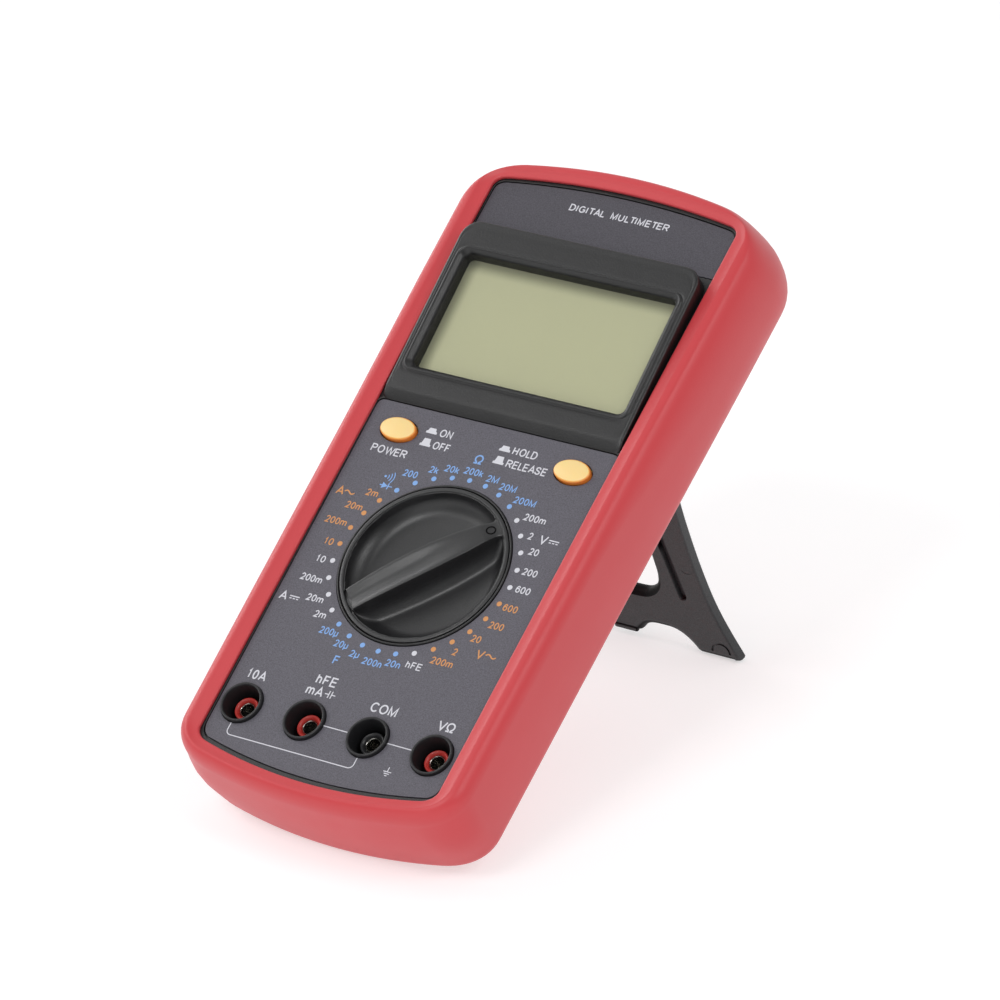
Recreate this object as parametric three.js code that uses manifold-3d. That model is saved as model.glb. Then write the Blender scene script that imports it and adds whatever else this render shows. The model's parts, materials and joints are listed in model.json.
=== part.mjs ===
// Handheld digital multimeter in a rubber holster, standing on its tilt stand.
// Millimetres. The meter is built in its own frame (x to the right, y up along
// the face, z out of the face, origin at the dial centre on the label plane),
// then leaned back so that +Z is up and the floor is z = 0.
import * as THREE from 'three';
import { mergeVertices } from 'three/addons/utils/BufferGeometryUtils.js';
import Module from 'manifold-3d';

const wasm = await Module();
wasm.setup();

// ---------------------------------------------------------------- dimensions
const LEAN = 34;                 // slope of the face above the floor, degrees
const LIFT = 58.462;              // dial centre above the floor
const SHIFT = -27.165;            // moves the footprint's middle to y = 0
const GAP = 0.3;                 // clearance between neighbouring pieces

const HOLSTER = { wTop: 44.7, wBottom: 43.0, yTop: 119.7, yBottom: -70.3, sagTop: 2.6, sagBottom: 3.2, rTop: 13, rBottom: 12 };
const HOLSTER_FRONT = 1.6;       // lip height above the label
const HOLSTER_BACK = -25.5;
const HOLSTER_ROUND = 5;         // edge rounding
const HOLSTER_WALL = 3.4;
const LIP = { wTop: 36.9, wBottom: 35.9, yTop: 114.3, yBottom: -65.0, sagTop: 2.6, sagBottom: 3.6, rTop: 3.2, rBottom: 4 };

const COVER_INSET = 3.7;         // cover outline inside the holster outline
const COVER_WALL = 2.0;
const PARTING = -12.0;           // front and rear covers meet here
const REAR_FACE = -23.2;
const REAR_FLOOR = 1.5;

const LABEL_THICK = 0.5;
const DIAL_HOLE = 22.75;
const DIAL_RING = 23.3;
const LABEL_HOLE = 23.5;

const BEZEL = { half: 35.9, y0: 42.2, yCrease: 45.3, zCrease: 1.6, y1: 95.6, z1: 4.9, r: 5 };
const WINDOW = { half: 31.8, y0: 53.1, y1: 86.35, rimHalf: 34, rimY0: 50.7, rimY1: 87.9, rimDeep: 0.8 };

const KNOB_R = 22.3;
const KNOB_POINTER = 45;         // degrees clockwise from 12 o'clock
const BUTTON = { x: 26.3, y: 34.5, w: 10.5, h: 6.6, top: 1.5, travel: 1.5 };
const JACK_X = [-28.58, -9.53, 9.53, 28.58];   // 19.05 mm apart
const JACK_Y = -48.7;
const JACK = { boss: 5.6, bore: 4.5, top: 1.2, insulator: 3.0, socket: 2.4, hole: 2.0 };

const PCB_TOP = -10.0, PCB_THICK = 1.6;
const BATTERY = { x0: -25.2, x1: 23.0, y0: 86.3, y1: 112.5, z0: -21.5, z1: -4.7 };

const STAND_Y = 80.0, STAND_Z = -23.8;   // hinge axis of the stand
const STAND_LEN = 84.0;
const STAND_OPEN = 62.7;                 // degrees away from the back
const STAND_THICK = 2.6;
const RECESS_FLOOR = -21.9;

const CASE_SCREWS = [[-19.05, -56.5], [19.05, -56.5], [-34.2, 91.8], [34.2, 91.8]];
const PCB_SCREWS = [[-33.3, 12], [33.3, 12], [0, -36.5]];

// ------------------------------------------------------------------ helpers
const rad = THREE.MathUtils.degToRad;
const V2 = (x, y) => new THREE.Vector2(x, y);

function solid(geometry) {
  const g0 = geometry.clone();
  g0.deleteAttribute('normal');
  g0.deleteAttribute('uv');
  const g = mergeVertices(g0, 1e-4);
  return new wasm.Manifold(new wasm.Mesh({
    numProp: 3,
    vertProperties: g.attributes.position.array,
    triVerts: new Uint32Array(g.index.array),
  }));
}
function geometryOf(s) {
  const m = s.getMesh(), n = m.numProp, v = new Float32Array(m.numVert * 3);
  for (let i = 0; i < m.numVert; i++) v.set(m.vertProperties.subarray(i * n, i * n + 3), i * 3);
  const g = new THREE.BufferGeometry();
  g.setAttribute('position', new THREE.BufferAttribute(v, 3));
  g.setIndex(new THREE.BufferAttribute(new Uint32Array(m.triVerts), 1));
  g.computeVertexNormals();
  return g;
}
const cut = (a, ...rest) => rest.reduce((s, b) => s.subtract(b), a);
const join = (a, ...rest) => rest.reduce((s, b) => s.add(b), a);

// plan outline with arched ends, straight tapering sides and rounded corners
function outline(o, inset = 0) {
  const wT = o.wTop - inset, wB = o.wBottom - inset, yT = o.yTop - inset, yB = o.yBottom + inset;
  const rT = Math.max(o.rTop - inset, 0.8), rB = Math.max(o.rBottom - inset, 0.8);
  const eT = yT - o.sagTop, eB = yB + o.sagBottom;          // end heights where the corners begin
  const sT = 2 * o.sagTop / (wT - rT), sB = 2 * o.sagBottom / (wB - rB);
  const s = new THREE.Shape();
  s.moveTo(-(wB - rB), eB);
  s.quadraticCurveTo(0, 2 * yB - eB, wB - rB, eB);
  s.bezierCurveTo(wB - rB * 0.45, eB + sB * rB * 0.55, wB, eB + rB * 0.45, wB, eB + rB);
  s.lineTo(wT, eT - rT);
  s.bezierCurveTo(wT, eT - rT * 0.45, wT - rT * 0.45, eT - sT * rT * 0.55, wT - rT, eT);
  s.quadraticCurveTo(0, 2 * yT - eT, -(wT - rT), eT);
  s.bezierCurveTo(-(wT - rT * 0.45), eT - sT * rT * 0.55, -wT, eT - rT * 0.45, -wT, eT - rT);
  s.lineTo(-wB, eB + rB);
  s.bezierCurveTo(-wB, eB + rB * 0.45, -(wB - rB * 0.45), eB + sB * rB * 0.55, -(wB - rB), eB);
  return s;
}
function rrect(x0, x1, y0, y1, r) {
  const s = new THREE.Shape();
  s.moveTo(x0 + r, y0);
  s.lineTo(x1 - r, y0); s.quadraticCurveTo(x1, y0, x1, y0 + r);
  s.lineTo(x1, y1 - r); s.quadraticCurveTo(x1, y1, x1 - r, y1);
  s.lineTo(x0 + r, y1); s.quadraticCurveTo(x0, y1, x0, y1 - r);
  s.lineTo(x0, y0 + r); s.quadraticCurveTo(x0, y0, x0 + r, y0);
  return s;
}
function ellipse(cx, cy, w, h) {
  const s = new THREE.Shape();
  s.absellipse(cx, cy, w / 2, h / 2, 0, Math.PI * 2, false, 0);
  return s;
}
const poly = pts => new THREE.Shape(pts.map(([x, y]) => V2(x, y)));
function slab(shape, z0, z1, curveSegments = 6) {
  const g = new THREE.ExtrudeGeometry(shape, { depth: z1 - z0, bevelEnabled: false, curveSegments });
  g.translate(0, 0, z0);
  return solid(g);
}
function rounded(shape, z0, z1, r, curveSegments = 6, bevelSegments = 3) {
  const g = new THREE.ExtrudeGeometry(shape, {
    depth: z1 - z0 - 2 * r, bevelEnabled: true, bevelThickness: r, bevelSize: r, bevelOffset: -r,
    bevelSegments, curveSegments,
  });
  g.translate(0, 0, z0 + r);
  return solid(g);
}
function box(x0, x1, y0, y1, z0, z1) {
  const g = new THREE.BoxGeometry(x1 - x0, y1 - y0, z1 - z0);
  g.translate((x0 + x1) / 2, (y0 + y1) / 2, (z0 + z1) / 2);
  return solid(g);
}
function cyl(x, y, r, z0, z1, n = 24) {
  const g = new THREE.CylinderGeometry(r, r, z1 - z0, n);
  g.rotateX(Math.PI / 2);
  g.translate(x, y, (z0 + z1) / 2);
  return solid(g);
}
function cylX(x0, x1, y, z, r, n = 20) {
  const g = new THREE.CylinderGeometry(r, r, x1 - x0, n);
  g.rotateZ(Math.PI / 2);
  g.translate((x0 + x1) / 2, y, z);
  return solid(g);
}
const tube = (x, y, ro, ri, z0, z1, n = 24) => cut(cyl(x, y, ro, z0, z1, n), cyl(x, y, ri, z0 - 1, z1 + 1, n));
// solid of revolution about z, profile as [radius, z], running upwards on its outside
function turned(profile, x = 0, y = 0, n = 24) {
  const g = new THREE.LatheGeometry(profile.map(([r, z]) => V2(r, z)), n);
  g.rotateX(Math.PI / 2);
  g.translate(x, y, 0);
  return solid(g);
}
// round wire along a list of points
function wire(points, r, steps = 14, sides = 6, curved = true) {
  const path = new THREE.CatmullRomCurve3(points.map(p => new THREE.Vector3(...p)), false, curved ? 'catmullrom' : 'chordal', 0.4);
  const s = new THREE.Shape();
  for (let i = 0; i < sides; i++) {
    const a = i / sides * Math.PI * 2;
    i ? s.lineTo(r * Math.cos(a), r * Math.sin(a)) : s.moveTo(r, 0);
  }
  s.closePath();
  return solid(new THREE.ExtrudeGeometry(s, { steps, bevelEnabled: false, extrudePath: path }));
}

const finish = (color, roughness, metalness = 0, extra = {}) => new THREE.MeshStandardMaterial({ color, roughness, metalness, ...extra });
const MAT = {
  holster: finish(0xcf5a62, 0.55),
  cover: finish(0x222226, 0.6),
  label: finish(0x69676f, 0.5),
  window: finish(0xdfe3d8, 0.08, 0, { transparent: true, opacity: 0.35 }),
  lcd: finish(0xb8b89a, 0.2),
  white: finish(0xdad8d0, 0.5),
  zebra: finish(0xd77a9a, 0.6),
  pcb: finish(0x1f5a35, 0.45),
  chip: finish(0x17171a, 0.5),
  glass: finish(0xdfe8ea, 0.1, 0, { transparent: true, opacity: 0.5 }),
  steel: finish(0xb9bcc0, 0.3, 1),
  brass: finish(0xc9a350, 0.3, 1),
  copper: finish(0xb87446, 0.35, 1),
  insulator: finish(0xb3272c, 0.45),
  button: finish(0xe9a24e, 0.4),
  knob: finish(0x1f1f22, 0.4),
  blue: finish(0x2b5fa8, 0.4),
  battery: finish(0x2c2c30, 0.35, 0.4),
  red: finish(0xb81f22, 0.5),
  black: finish(0x141416, 0.5),
};
const meter = new THREE.Group();
function piece(name, s, material, parent = meter) {
  const m = new THREE.Mesh(geometryOf(s), material);
  m.name = name;
  parent.add(m);
  return m;
}

// ------------------------------------------------------------------ stand plan
// half-outline of the stand: [half width, distance from the hinge]
const STAND_EDGE = [[16, 0], [16.6, 14], [17.6, 28], [19.7, 42.9], [23.2, 57.2], [27.3, 69.4], [34.6, 80.2], [34.4, STAND_LEN]];
// the hollow in the back that takes the closed stand, grown outwards by d
function recessShape(d) {
  const p = [[19.0, 82.6], [20.4, 52], [23.4, 30], [29.4, 14], [35.4, 2], [35.4, -5.6]];
  const right = p.map(([x, y], i) => [x + d, y + (i === 0 ? d : i === p.length - 1 ? -d : 0)]);
  return poly([...right, ...right.map(([x, y]) => [-x, y]).reverse()].reverse());
}

// ------------------------------------------------------------------ holster
const outer = rounded(outline(HOLSTER), HOLSTER_BACK, HOLSTER_FRONT, HOLSTER_ROUND, 7, 3);
const cavity = cut(
  slab(outline(HOLSTER, HOLSTER_WALL), REAR_FACE - GAP, GAP, 7),
  slab(recessShape(1.7), REAR_FACE - 2, REAR_FACE + 2.9));
let holster = cut(outer, cavity,
  slab(outline(LIP), -1, HOLSTER_FRONT + 2, 5),
  slab(recessShape(0), HOLSTER_BACK - 2, RECESS_FLOOR),
  cylX(-25, 25, STAND_Y, STAND_Z, 0.95, 12));
piece('holster', holster, MAT.holster);

// ------------------------------------------------------------------ front cover
const COVER = inset => outline(HOLSTER, COVER_INSET + inset);
const PLATE = 2.4;               // face plate thickness before the label pocket
const lowerLabelShape = (d) => {
  // follows the lip at the sides and the bottom, square top edge under the bezel
  const s = new THREE.Shape();
  const wt = 36.3 - d, wb = 35.3 - d, y1 = 42.1 - d, y0 = -63.3 + d, e = -59.9 + d;
  s.moveTo(-wb + 3.5, e);
  s.quadraticCurveTo(0, 2 * y0 - e, wb - 3.5, e);
  s.quadraticCurveTo(wb, e + 0.5, wb, e + 4);
  s.lineTo(wt, y1 - 2);
  s.quadraticCurveTo(wt, y1, wt - 2, y1);
  s.lineTo(-wt + 2, y1);
  s.quadraticCurveTo(-wt, y1, -wt, y1 - 2);
  s.lineTo(-wb, e + 4);
  s.quadraticCurveTo(-wb, e + 0.5, -wb + 3.5, e);
  return s;
};
const upperLabelShape = (d) => {
  const s = new THREE.Shape();
  const w = 36.5 - d, y0 = 96.2 + d, y1 = 113.1 - d, e = 110.6 - d;
  s.moveTo(-w, y0);
  s.lineTo(w, y0);
  s.lineTo(w, e - 2.4);
  s.quadraticCurveTo(w, e, w - 3, e + 0.25);
  s.quadraticCurveTo(0, 2 * y1 - e - 0.25, -w + 3, e + 0.25);
  s.quadraticCurveTo(-w, e, -w, e - 2.4);
  s.lineTo(-w, y0);
  return s;
};
const bezelProfile = poly([[BEZEL.y0 + 0.2, -1], [BEZEL.y0 + 0.2, 0.1], [BEZEL.yCrease, BEZEL.zCrease], [BEZEL.y1, BEZEL.z1], [BEZEL.y1, -1]]);
const bezelBlock = (() => {
  const g = new THREE.ExtrudeGeometry(bezelProfile, { depth: 2 * BEZEL.half, bevelEnabled: false });
  // profile (y, z) swept along x
  g.applyMatrix4(new THREE.Matrix4().makeBasis(new THREE.Vector3(0, 1, 0), new THREE.Vector3(0, 0, 1), new THREE.Vector3(1, 0, 0)));
  g.translate(-BEZEL.half, 0, 0);
  return solid(g);
})();
const bezel = bezelBlock.intersect(slab(rrect(-BEZEL.half, BEZEL.half, BEZEL.y0 - 3, BEZEL.y1, BEZEL.r), -2, 8));
// shallow pocket parallel to the sloping bezel face, round the window
const slope = Math.atan2(BEZEL.z1 - BEZEL.zCrease, BEZEL.y1 - BEZEL.yCrease);
const rimCut = (() => {
  const g = new THREE.ExtrudeGeometry(rrect(-WINDOW.rimHalf, WINDOW.rimHalf, (WINDOW.rimY0 - BEZEL.yCrease) / Math.cos(slope), (WINDOW.rimY1 - BEZEL.yCrease) / Math.cos(slope), 3), { depth: 6, bevelEnabled: false, curveSegments: 4 });
  g.translate(0, 0, -WINDOW.rimDeep);
  g.rotateX(slope);
  g.translate(0, BEZEL.yCrease, BEZEL.zCrease);
  return solid(g);
})();
const windowSeat = -1.0;
let front = join(
  cut(slab(COVER(0), PARTING, 0, 7), slab(COVER(COVER_WALL), PARTING - 1, -PLATE, 7)),
  bezel);
front = cut(front,
  slab(lowerLabelShape(-0.2), -LABEL_THICK - GAP, 3, 5),
  slab(upperLabelShape(-0.2), -LABEL_THICK - GAP, 8, 5),
  rimCut,
  slab(rrect(-WINDOW.half, WINDOW.half, WINDOW.y0, WINDOW.y1, 1.8), -6, 8, 4),
  box(-33.8, 33.8, 51.1, 88.3, -6, windowSeat));
// dial collar, detent ring with 32 notches, jack bosses, screw posts
const notched = (() => {
  const s = new THREE.Shape();
  s.absarc(0, 0, 27.4, 0, Math.PI * 2, false);
  const hole = new THREE.Path();
  for (let i = 0; i < 32; i++) {
    for (const [f, r] of [[-0.5, 25.3], [0, 25.9]]) {
      const a = (i + f) / 32 * Math.PI * 2;
      const px = r * Math.cos(a), py = r * Math.sin(a);
      i || f === 0 ? hole.lineTo(px, py) : hole.moveTo(px, py);
    }
  }
  hole.closePath();
  s.holes.push(hole);
  const g = new THREE.ExtrudeGeometry(s, { depth: 6.4, bevelEnabled: false, curveSegments: 12 });
  g.translate(0, 0, -8.4);
  return solid(g);
})();
front = join(front, notched, cyl(0, 0, 24.6, -5.6, -2.0, 40), cyl(0, 0, DIAL_RING, -2.2, 0.6, 40));
for (const x of JACK_X) front = join(front, cyl(x, JACK_Y, JACK.boss, -9.6, JACK.top, 20));
for (const [x, y] of CASE_SCREWS) front = join(front, cyl(x, y, 3.2, PARTING, -2.0, 14));
for (const [x, y] of PCB_SCREWS) front = join(front, cyl(x, y, 2.4, -9.7, -2.0, 12));
front = cut(front, cyl(0, 0, DIAL_HOLE, -9, 3, 40));
for (const x of JACK_X) front = cut(front, cyl(x, JACK_Y, JACK.bore, -11, 4, 20));
for (const [x, y] of CASE_SCREWS) front = cut(front, cyl(x, y, 1.45, PARTING - 1, -4, 10));
for (const [x, y] of PCB_SCREWS) front = cut(front, cyl(x, y, 1.1, -11, -4, 10));
for (const sx of [-1, 1]) front = cut(front, slab(ellipse(sx * BUTTON.x, BUTTON.y, BUTTON.w + 0.7, BUTTON.h + 0.7), -5, 3, 8));
piece('front_cover', front, MAT.cover);

// ------------------------------------------------------------------ labels
let lower = cut(slab(lowerLabelShape(0), -LABEL_THICK, 0, 6), cyl(0, 0, LABEL_HOLE, -2, 2, 40));
for (const x of JACK_X) lower = cut(lower, cyl(x, JACK_Y, JACK.boss + GAP, -2, 2, 20));
for (const sx of [-1, 1]) lower = cut(lower, slab(ellipse(sx * BUTTON.x, BUTTON.y, BUTTON.w + 0.7, BUTTON.h + 0.7), -2, 2, 8));
piece('lower_label', lower, MAT.label);
piece('upper_label', slab(upperLabelShape(0), -LABEL_THICK, 0, 6), MAT.label);

// ------------------------------------------------------------------ display
piece('lcd_window', box(-33.5, 33.5, 51.4, 88.0, -2.3, -1.3), MAT.window);
piece('lcd_glass', join(box(-33.2, 33.2, 51.6, 87.8, -3.5, -2.6), box(-33.2, 33.2, 51.6, 85.4, -4.4, -3.45)), MAT.lcd);
piece('lcd_frame', cut(box(-36, 36, 48.8, 89.8, -9.7, -2.7), box(-33.8, 33.8, 51.3, 88.1, -11, -1), box(-40, 40, 85.9, 95, -11, -4.5),
  ...CASE_SCREWS.slice(2).map(([x, y]) => cyl(x, y, 3.5, -12, 0, 14))), MAT.white);
piece('zebra_strip_lower', box(-31, 31, 52.0, 54.4, -9.7, -4.7), MAT.zebra);
piece('zebra_strip_upper', box(-31, 31, 82.4, 84.8, -9.7, -4.7), MAT.zebra);

// ------------------------------------------------------------------ circuit board
const pcbShape = outline({ wTop: 38.2, wBottom: 36.9, yTop: 85.6, yBottom: -63.6, sagTop: 0.01, sagBottom: 2.2, rTop: 2, rBottom: 8 });
let pcb = slab(pcbShape, PCB_TOP - PCB_THICK, PCB_TOP, 4);
for (const x of JACK_X) pcb = cut(pcb, cyl(x, JACK_Y, 2.75, -13, -9, 16));
for (const [x, y] of CASE_SCREWS.slice(0, 2)) pcb = cut(pcb, cyl(x, y, 3.6, -13, -9, 14));
for (const [x, y] of PCB_SCREWS) pcb = cut(pcb, cyl(x, y, 1.3, -13, -9, 10));
piece('main_pcb', pcb, MAT.pcb);
PCB_SCREWS.forEach(([x, y], i) => piece('pcb_screw_' + (i + 1), turned([[0, -13.3], [2.1, -13.3], [2.1, -11.9], [0.9, -11.9], [0.9, -5.0], [0, -4.6]], x, y, 10), MAT.steel));
piece('processor_chip', box(-9, 5, 15, 29, -13.9, -11.9), MAT.chip);
piece('calibration_trimmer', cut(box(16.5, 23, 6.8, 13.2, -16.4, -11.9), box(17.6, 21.9, 9.6, 10.4, -17, -15.6)), MAT.blue);
const canY = (x, y0, y1, z, r) => { const g = new THREE.CylinderGeometry(r, r, y1 - y0, 16); g.translate(x, (y0 + y1) / 2, z); return solid(g); };
piece('filter_capacitor_1', canY(-25, 6, 17.4, -14.6, 2.6), MAT.blue);
piece('filter_capacitor_2', canY(-18.5, 6, 17.4, -14.6, 2.6), MAT.blue);
piece('quartz_crystal', slab(rrect(10, 21, 30, 34.6, 2.2), -15.4, -11.9, 4), MAT.steel);

// fuses in their clips
const FUSE_Y = -33;
const fuse = (x0, x1, r, z) => join(cylX(x0, x0 + 6, FUSE_Y, z, r, 16), cylX(x1 - 6, x1, FUSE_Y, z, r, 16), cylX(x0 + 5, x1 - 5, FUSE_Y, z, r - 0.25, 16));
piece('fuse_10a', fuse(-36.0 + 2, -36.0 + 33.75, 3.15, -15.9), MAT.glass);
piece('fuse_ma', fuse(6, 26, 2.55, -15.3), MAT.glass);
const clip = (x, w, r, z) => cut(box(x - w / 2, x + w / 2, FUSE_Y - r - 0.9, FUSE_Y + r + 0.9, z - r * 0.4, -11.9), cylX(x - w, x + w, FUSE_Y, z, r + 0.3, 16));
piece('fuse_clip_1', clip(-31, 4.4, 3.15, -15.9), MAT.brass);
piece('fuse_clip_2', clip(-5.3, 4.4, 3.15, -15.9), MAT.brass);
piece('fuse_clip_3', clip(8.8, 4, 2.55, -15.3), MAT.brass);
piece('fuse_clip_4', clip(23.2, 4, 2.55, -15.3), MAT.brass);
piece('shunt_10a', wire([[-12, -61, -11.9], [-12, -61, -15.5], [-9, -61, -18], [0, -61, -18], [3, -61, -15.5], [3, -61, -11.9]], 0.9, 22, 8), MAT.copper);

// ------------------------------------------------------------------ input jacks
const JACK_NAMES = ['10a', 'ma', 'com', 'volt'];
JACK_X.forEach((x, i) => {
  piece('input_socket_' + JACK_NAMES[i], turned([[0, -18.0], [JACK.socket, -18.0], [JACK.socket, -3.4], [JACK.hole, -3.4], [JACK.hole, -16.6], [0, -16.6]], x, JACK_Y, 16), MAT.brass);
  piece('socket_insulator_' + JACK_NAMES[i], turned([[2.6, -9.7], [4.2, -9.7], [4.2, -8.2], [JACK.insulator, -8.2], [JACK.insulator, -3.0], [2.6, -3.0], [2.6, -9.7]], x, JACK_Y, 16), i === 2 ? MAT.black : MAT.insulator);
});

// ------------------------------------------------------------------ push buttons and their switches
for (const [name, sx] of [['power', -1], ['hold', 1]]) {
  const x = sx * BUTTON.x, y = BUTTON.y;
  const cap = (() => {
    const g = new THREE.ExtrudeGeometry(ellipse(x, y, BUTTON.w, BUTTON.h), { depth: 4.4, bevelEnabled: true, bevelThickness: 0.9, bevelSize: 0.9, bevelOffset: -0.9, bevelSegments: 3, curveSegments: 10 });
    g.translate(0, 0, BUTTON.top - 5.3);
    return solid(g);
  })();
  piece(name + '_button', join(cap, slab(ellipse(x, y, BUTTON.w + 2.2, BUTTON.h + 2.2), -4.7, -2.4 - GAP, 8), cyl(x, y, 1.5, -8.0, -4.4, 12)), MAT.button);
  piece(name + '_switch', cut(box(x - 4, x + 4, y - 4, y + 4, -9.7, -6.5), cyl(x, y, 1.8, -11, -5, 12)), MAT.chip);
}

// ------------------------------------------------------------------ rotary selector
const dial = new THREE.Group();
dial.rotation.z = -rad(KNOB_POINTER);          // local +y is the pointer
meter.add(dial);
const barShape = poly([[-3.25, -20.4], [3.25, -20.4], [3.8, -10], [4.0, 0], [3.6, 10], [2.1, 20.6], [-2.1, 20.6], [-3.6, 10], [-4.0, 0], [-3.8, -10]]);
let knob = turned([[0, -5.9], [22.3, -5.9], [22.3, 0.7], [21.4, 0.7], [20.6, -2.2], [17.5, -3.2], [0, -3.2]], 0, 0, 40);
const bump = (sx) => {
  const g = new THREE.SphereGeometry(1, 16, 10);
  g.scale(3.7, 16.5, 6.0);
  g.translate(sx * 12.2, 0, -3.3);
  return cut(solid(g), box(-30, 30, -30, 30, -20, -5));
};
knob = join(cut(knob, slab(ellipse(-7.2, 0, 6.5, 26), -4.9, 4, 8), slab(ellipse(7.2, 0, 6.5, 26), -4.9, 4, 8)), bump(-1), bump(1), slab(barShape, -5, 2.2, 4));
piece('rotary_knob', knob, MAT.knob, dial);
piece('rotor_carrier', cut(join(cyl(0, 0, 24.2, -8.2, -6.2, 40)), cyl(0, 0, 3, -9, -5, 12)), MAT.white, dial);
const wiper = (y, w) => {
  const g = new THREE.ExtrudeGeometry(poly([[-7, -8.8], [-7, -8.5], [7, -8.5], [7, -8.8], [6.2, -9.7], [5.6, -9.7], [4.8, -8.8], [-4.8, -8.8], [-5.6, -9.7], [-6.2, -9.7]].reverse()), { depth: w, bevelEnabled: false });
  g.rotateX(Math.PI / 2);                       // profile (x, z), swept along y
  g.translate(0, y + w / 2, 0);
  return solid(g);
};
piece('contact_wiper_1', wiper(8, 2), MAT.brass, dial);
piece('contact_wiper_2', wiper(13, 2), MAT.brass, dial);
piece('contact_wiper_3', wiper(-11, 2), MAT.brass, dial);
const detent = (sx) => {
  const inner = [], outerEdge = [];
  for (let i = -6; i <= 6; i++) {
    const a = i * 0.05, ro = i === 0 ? 25.15 : Math.abs(i) === 1 ? 25.0 : 24.8;
    inner.push([sx * 24.5 * Math.cos(a), 24.5 * Math.sin(a)]);
    outerEdge.push([sx * ro * Math.cos(a), ro * Math.sin(a)]);
  }
  const ring = [...outerEdge, ...inner.reverse()];
  return slab(poly(sx > 0 ? ring : ring.reverse()), -8.0, -6.4);
};
piece('detent_spring_1', detent(1), MAT.steel, dial);
piece('detent_spring_2', detent(-1), MAT.steel, dial);

// ------------------------------------------------------------------ rear cover
let rear = cut(slab(COVER(0), REAR_FACE, PARTING - GAP, 7), slab(recessShape(2.0), REAR_FACE - 2, REAR_FACE + 3.2));
rear = cut(rear, cut(slab(COVER(COVER_WALL), REAR_FACE + REAR_FLOOR, PARTING + 1, 7), slab(recessShape(3.5), REAR_FACE - 2, REAR_FACE + 4.7)));
rear = join(rear, box(-36.5, 36.5, 84.8, 86.0, REAR_FACE + 1, -13.6));
for (const [x, y] of CASE_SCREWS) rear = join(rear, cyl(x, y, 3.8, REAR_FACE + 0.5, PARTING - GAP, 14));
rear = join(rear, cyl(31.9, 104, 2.6, REAR_FACE + 0.5, -14, 12), box(32, 39.6, 103.2, 104.8, REAR_FACE + 2, -14));
const doorShape = (d) => poly([[-28.7 - d, 86.6 - d], [28.7 + d, 86.6 - d], [28.7 + d, 100.2 - d], [35 + d, 100.2 - d], [35 + d, 107.8 + d], [28.7 + d, 107.8 + d], [28.7 + d, 111.0 + d], [-28.7 - d, 111.0 + d]]);
rear = cut(rear, cut(slab(doorShape(0.3), REAR_FACE - 1, REAR_FACE + 1.7, 4)));
rear = cut(rear, box(-29, 29, 86.3, 111.3, REAR_FACE - 1, REAR_FACE + 3));
for (const [x, y] of CASE_SCREWS) rear = cut(rear, cyl(x, y, 1.5, REAR_FACE - 1, PARTING + 1, 10), cyl(x, y, 2.9, REAR_FACE - 1, REAR_FACE + 2.4, 14));
rear = cut(rear, cyl(31.9, 104, 1.2, REAR_FACE - 1, -13, 10), box(21, 32, 84, 87, -17, -12));
piece('rear_cover', rear, MAT.cover);
piece('battery_door', cut(slab(doorShape(0), REAR_FACE, REAR_FACE + 1.4, 4), turned([[0, -24], [3.3, -24], [2.7, -23.35], [1.4, -22.0], [1.4, -20], [0, -20]], 31.9, 104, 12)), MAT.cover);
piece('door_screw', turned([[0, -23.4], [2.3, -23.4], [1.0, -22.2], [1.0, -15.5], [0, -15.0]], 31.9, 104, 12), MAT.steel);
CASE_SCREWS.forEach(([x, y], i) => piece('case_screw_' + (i + 1), turned([[0, -22.9], [2.5, -22.9], [2.5, -21.3], [1.15, -21.2], [1.15, -7.0], [0, -6.4]], x, y, 12), MAT.steel));

// ------------------------------------------------------------------ battery and its leads
piece('battery_9v', rounded(rrect(BATTERY.x0, BATTERY.x1, BATTERY.y0, BATTERY.y1, 2.2), BATTERY.z0, BATTERY.z1, 0.8, 4, 2), MAT.battery);
piece('battery_snap', box(23.3, 26.8, 88.6, 109.6, -19.2, -7.0), MAT.black);
piece('battery_wire_red', wire([[28.7, 99, -13.2], [29.2, 95, -13.2], [28.4, 88, -13.4], [27.2, 84, -13.2], [26, 78, -12.6], [25.2, 74, -12.6]], 0.6, 14, 6), MAT.red);
piece('battery_wire_black', wire([[28.9, 95, -15.6], [29.1, 91.0, -15.2], [26.8, 87.0, -14.6], [24, 84, -13.6], [22.8, 78, -12.6], [22, 74, -12.6]], 0.6, 14, 6), MAT.black);

// ------------------------------------------------------------------ shield and buzzer
piece('shield_plate', slab(rrect(-20, 20, 0, 72, 3), -18.2, -17.8, 3), MAT.steel);
const coil = [];
for (let i = 0; i <= 32; i++) coil.push([12 + 1.9 * Math.cos(i / 8 * 2 * Math.PI), 50 + 1.9 * Math.sin(i / 8 * 2 * Math.PI), -17.2 + i / 32 * 5.0]);
piece('shield_spring', wire(coil, 0.25, 40, 5), MAT.steel);
piece('buzzer_disc', cyl(17, -20.5, 9.5, -21.4, -20.8, 24), MAT.brass);

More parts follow.
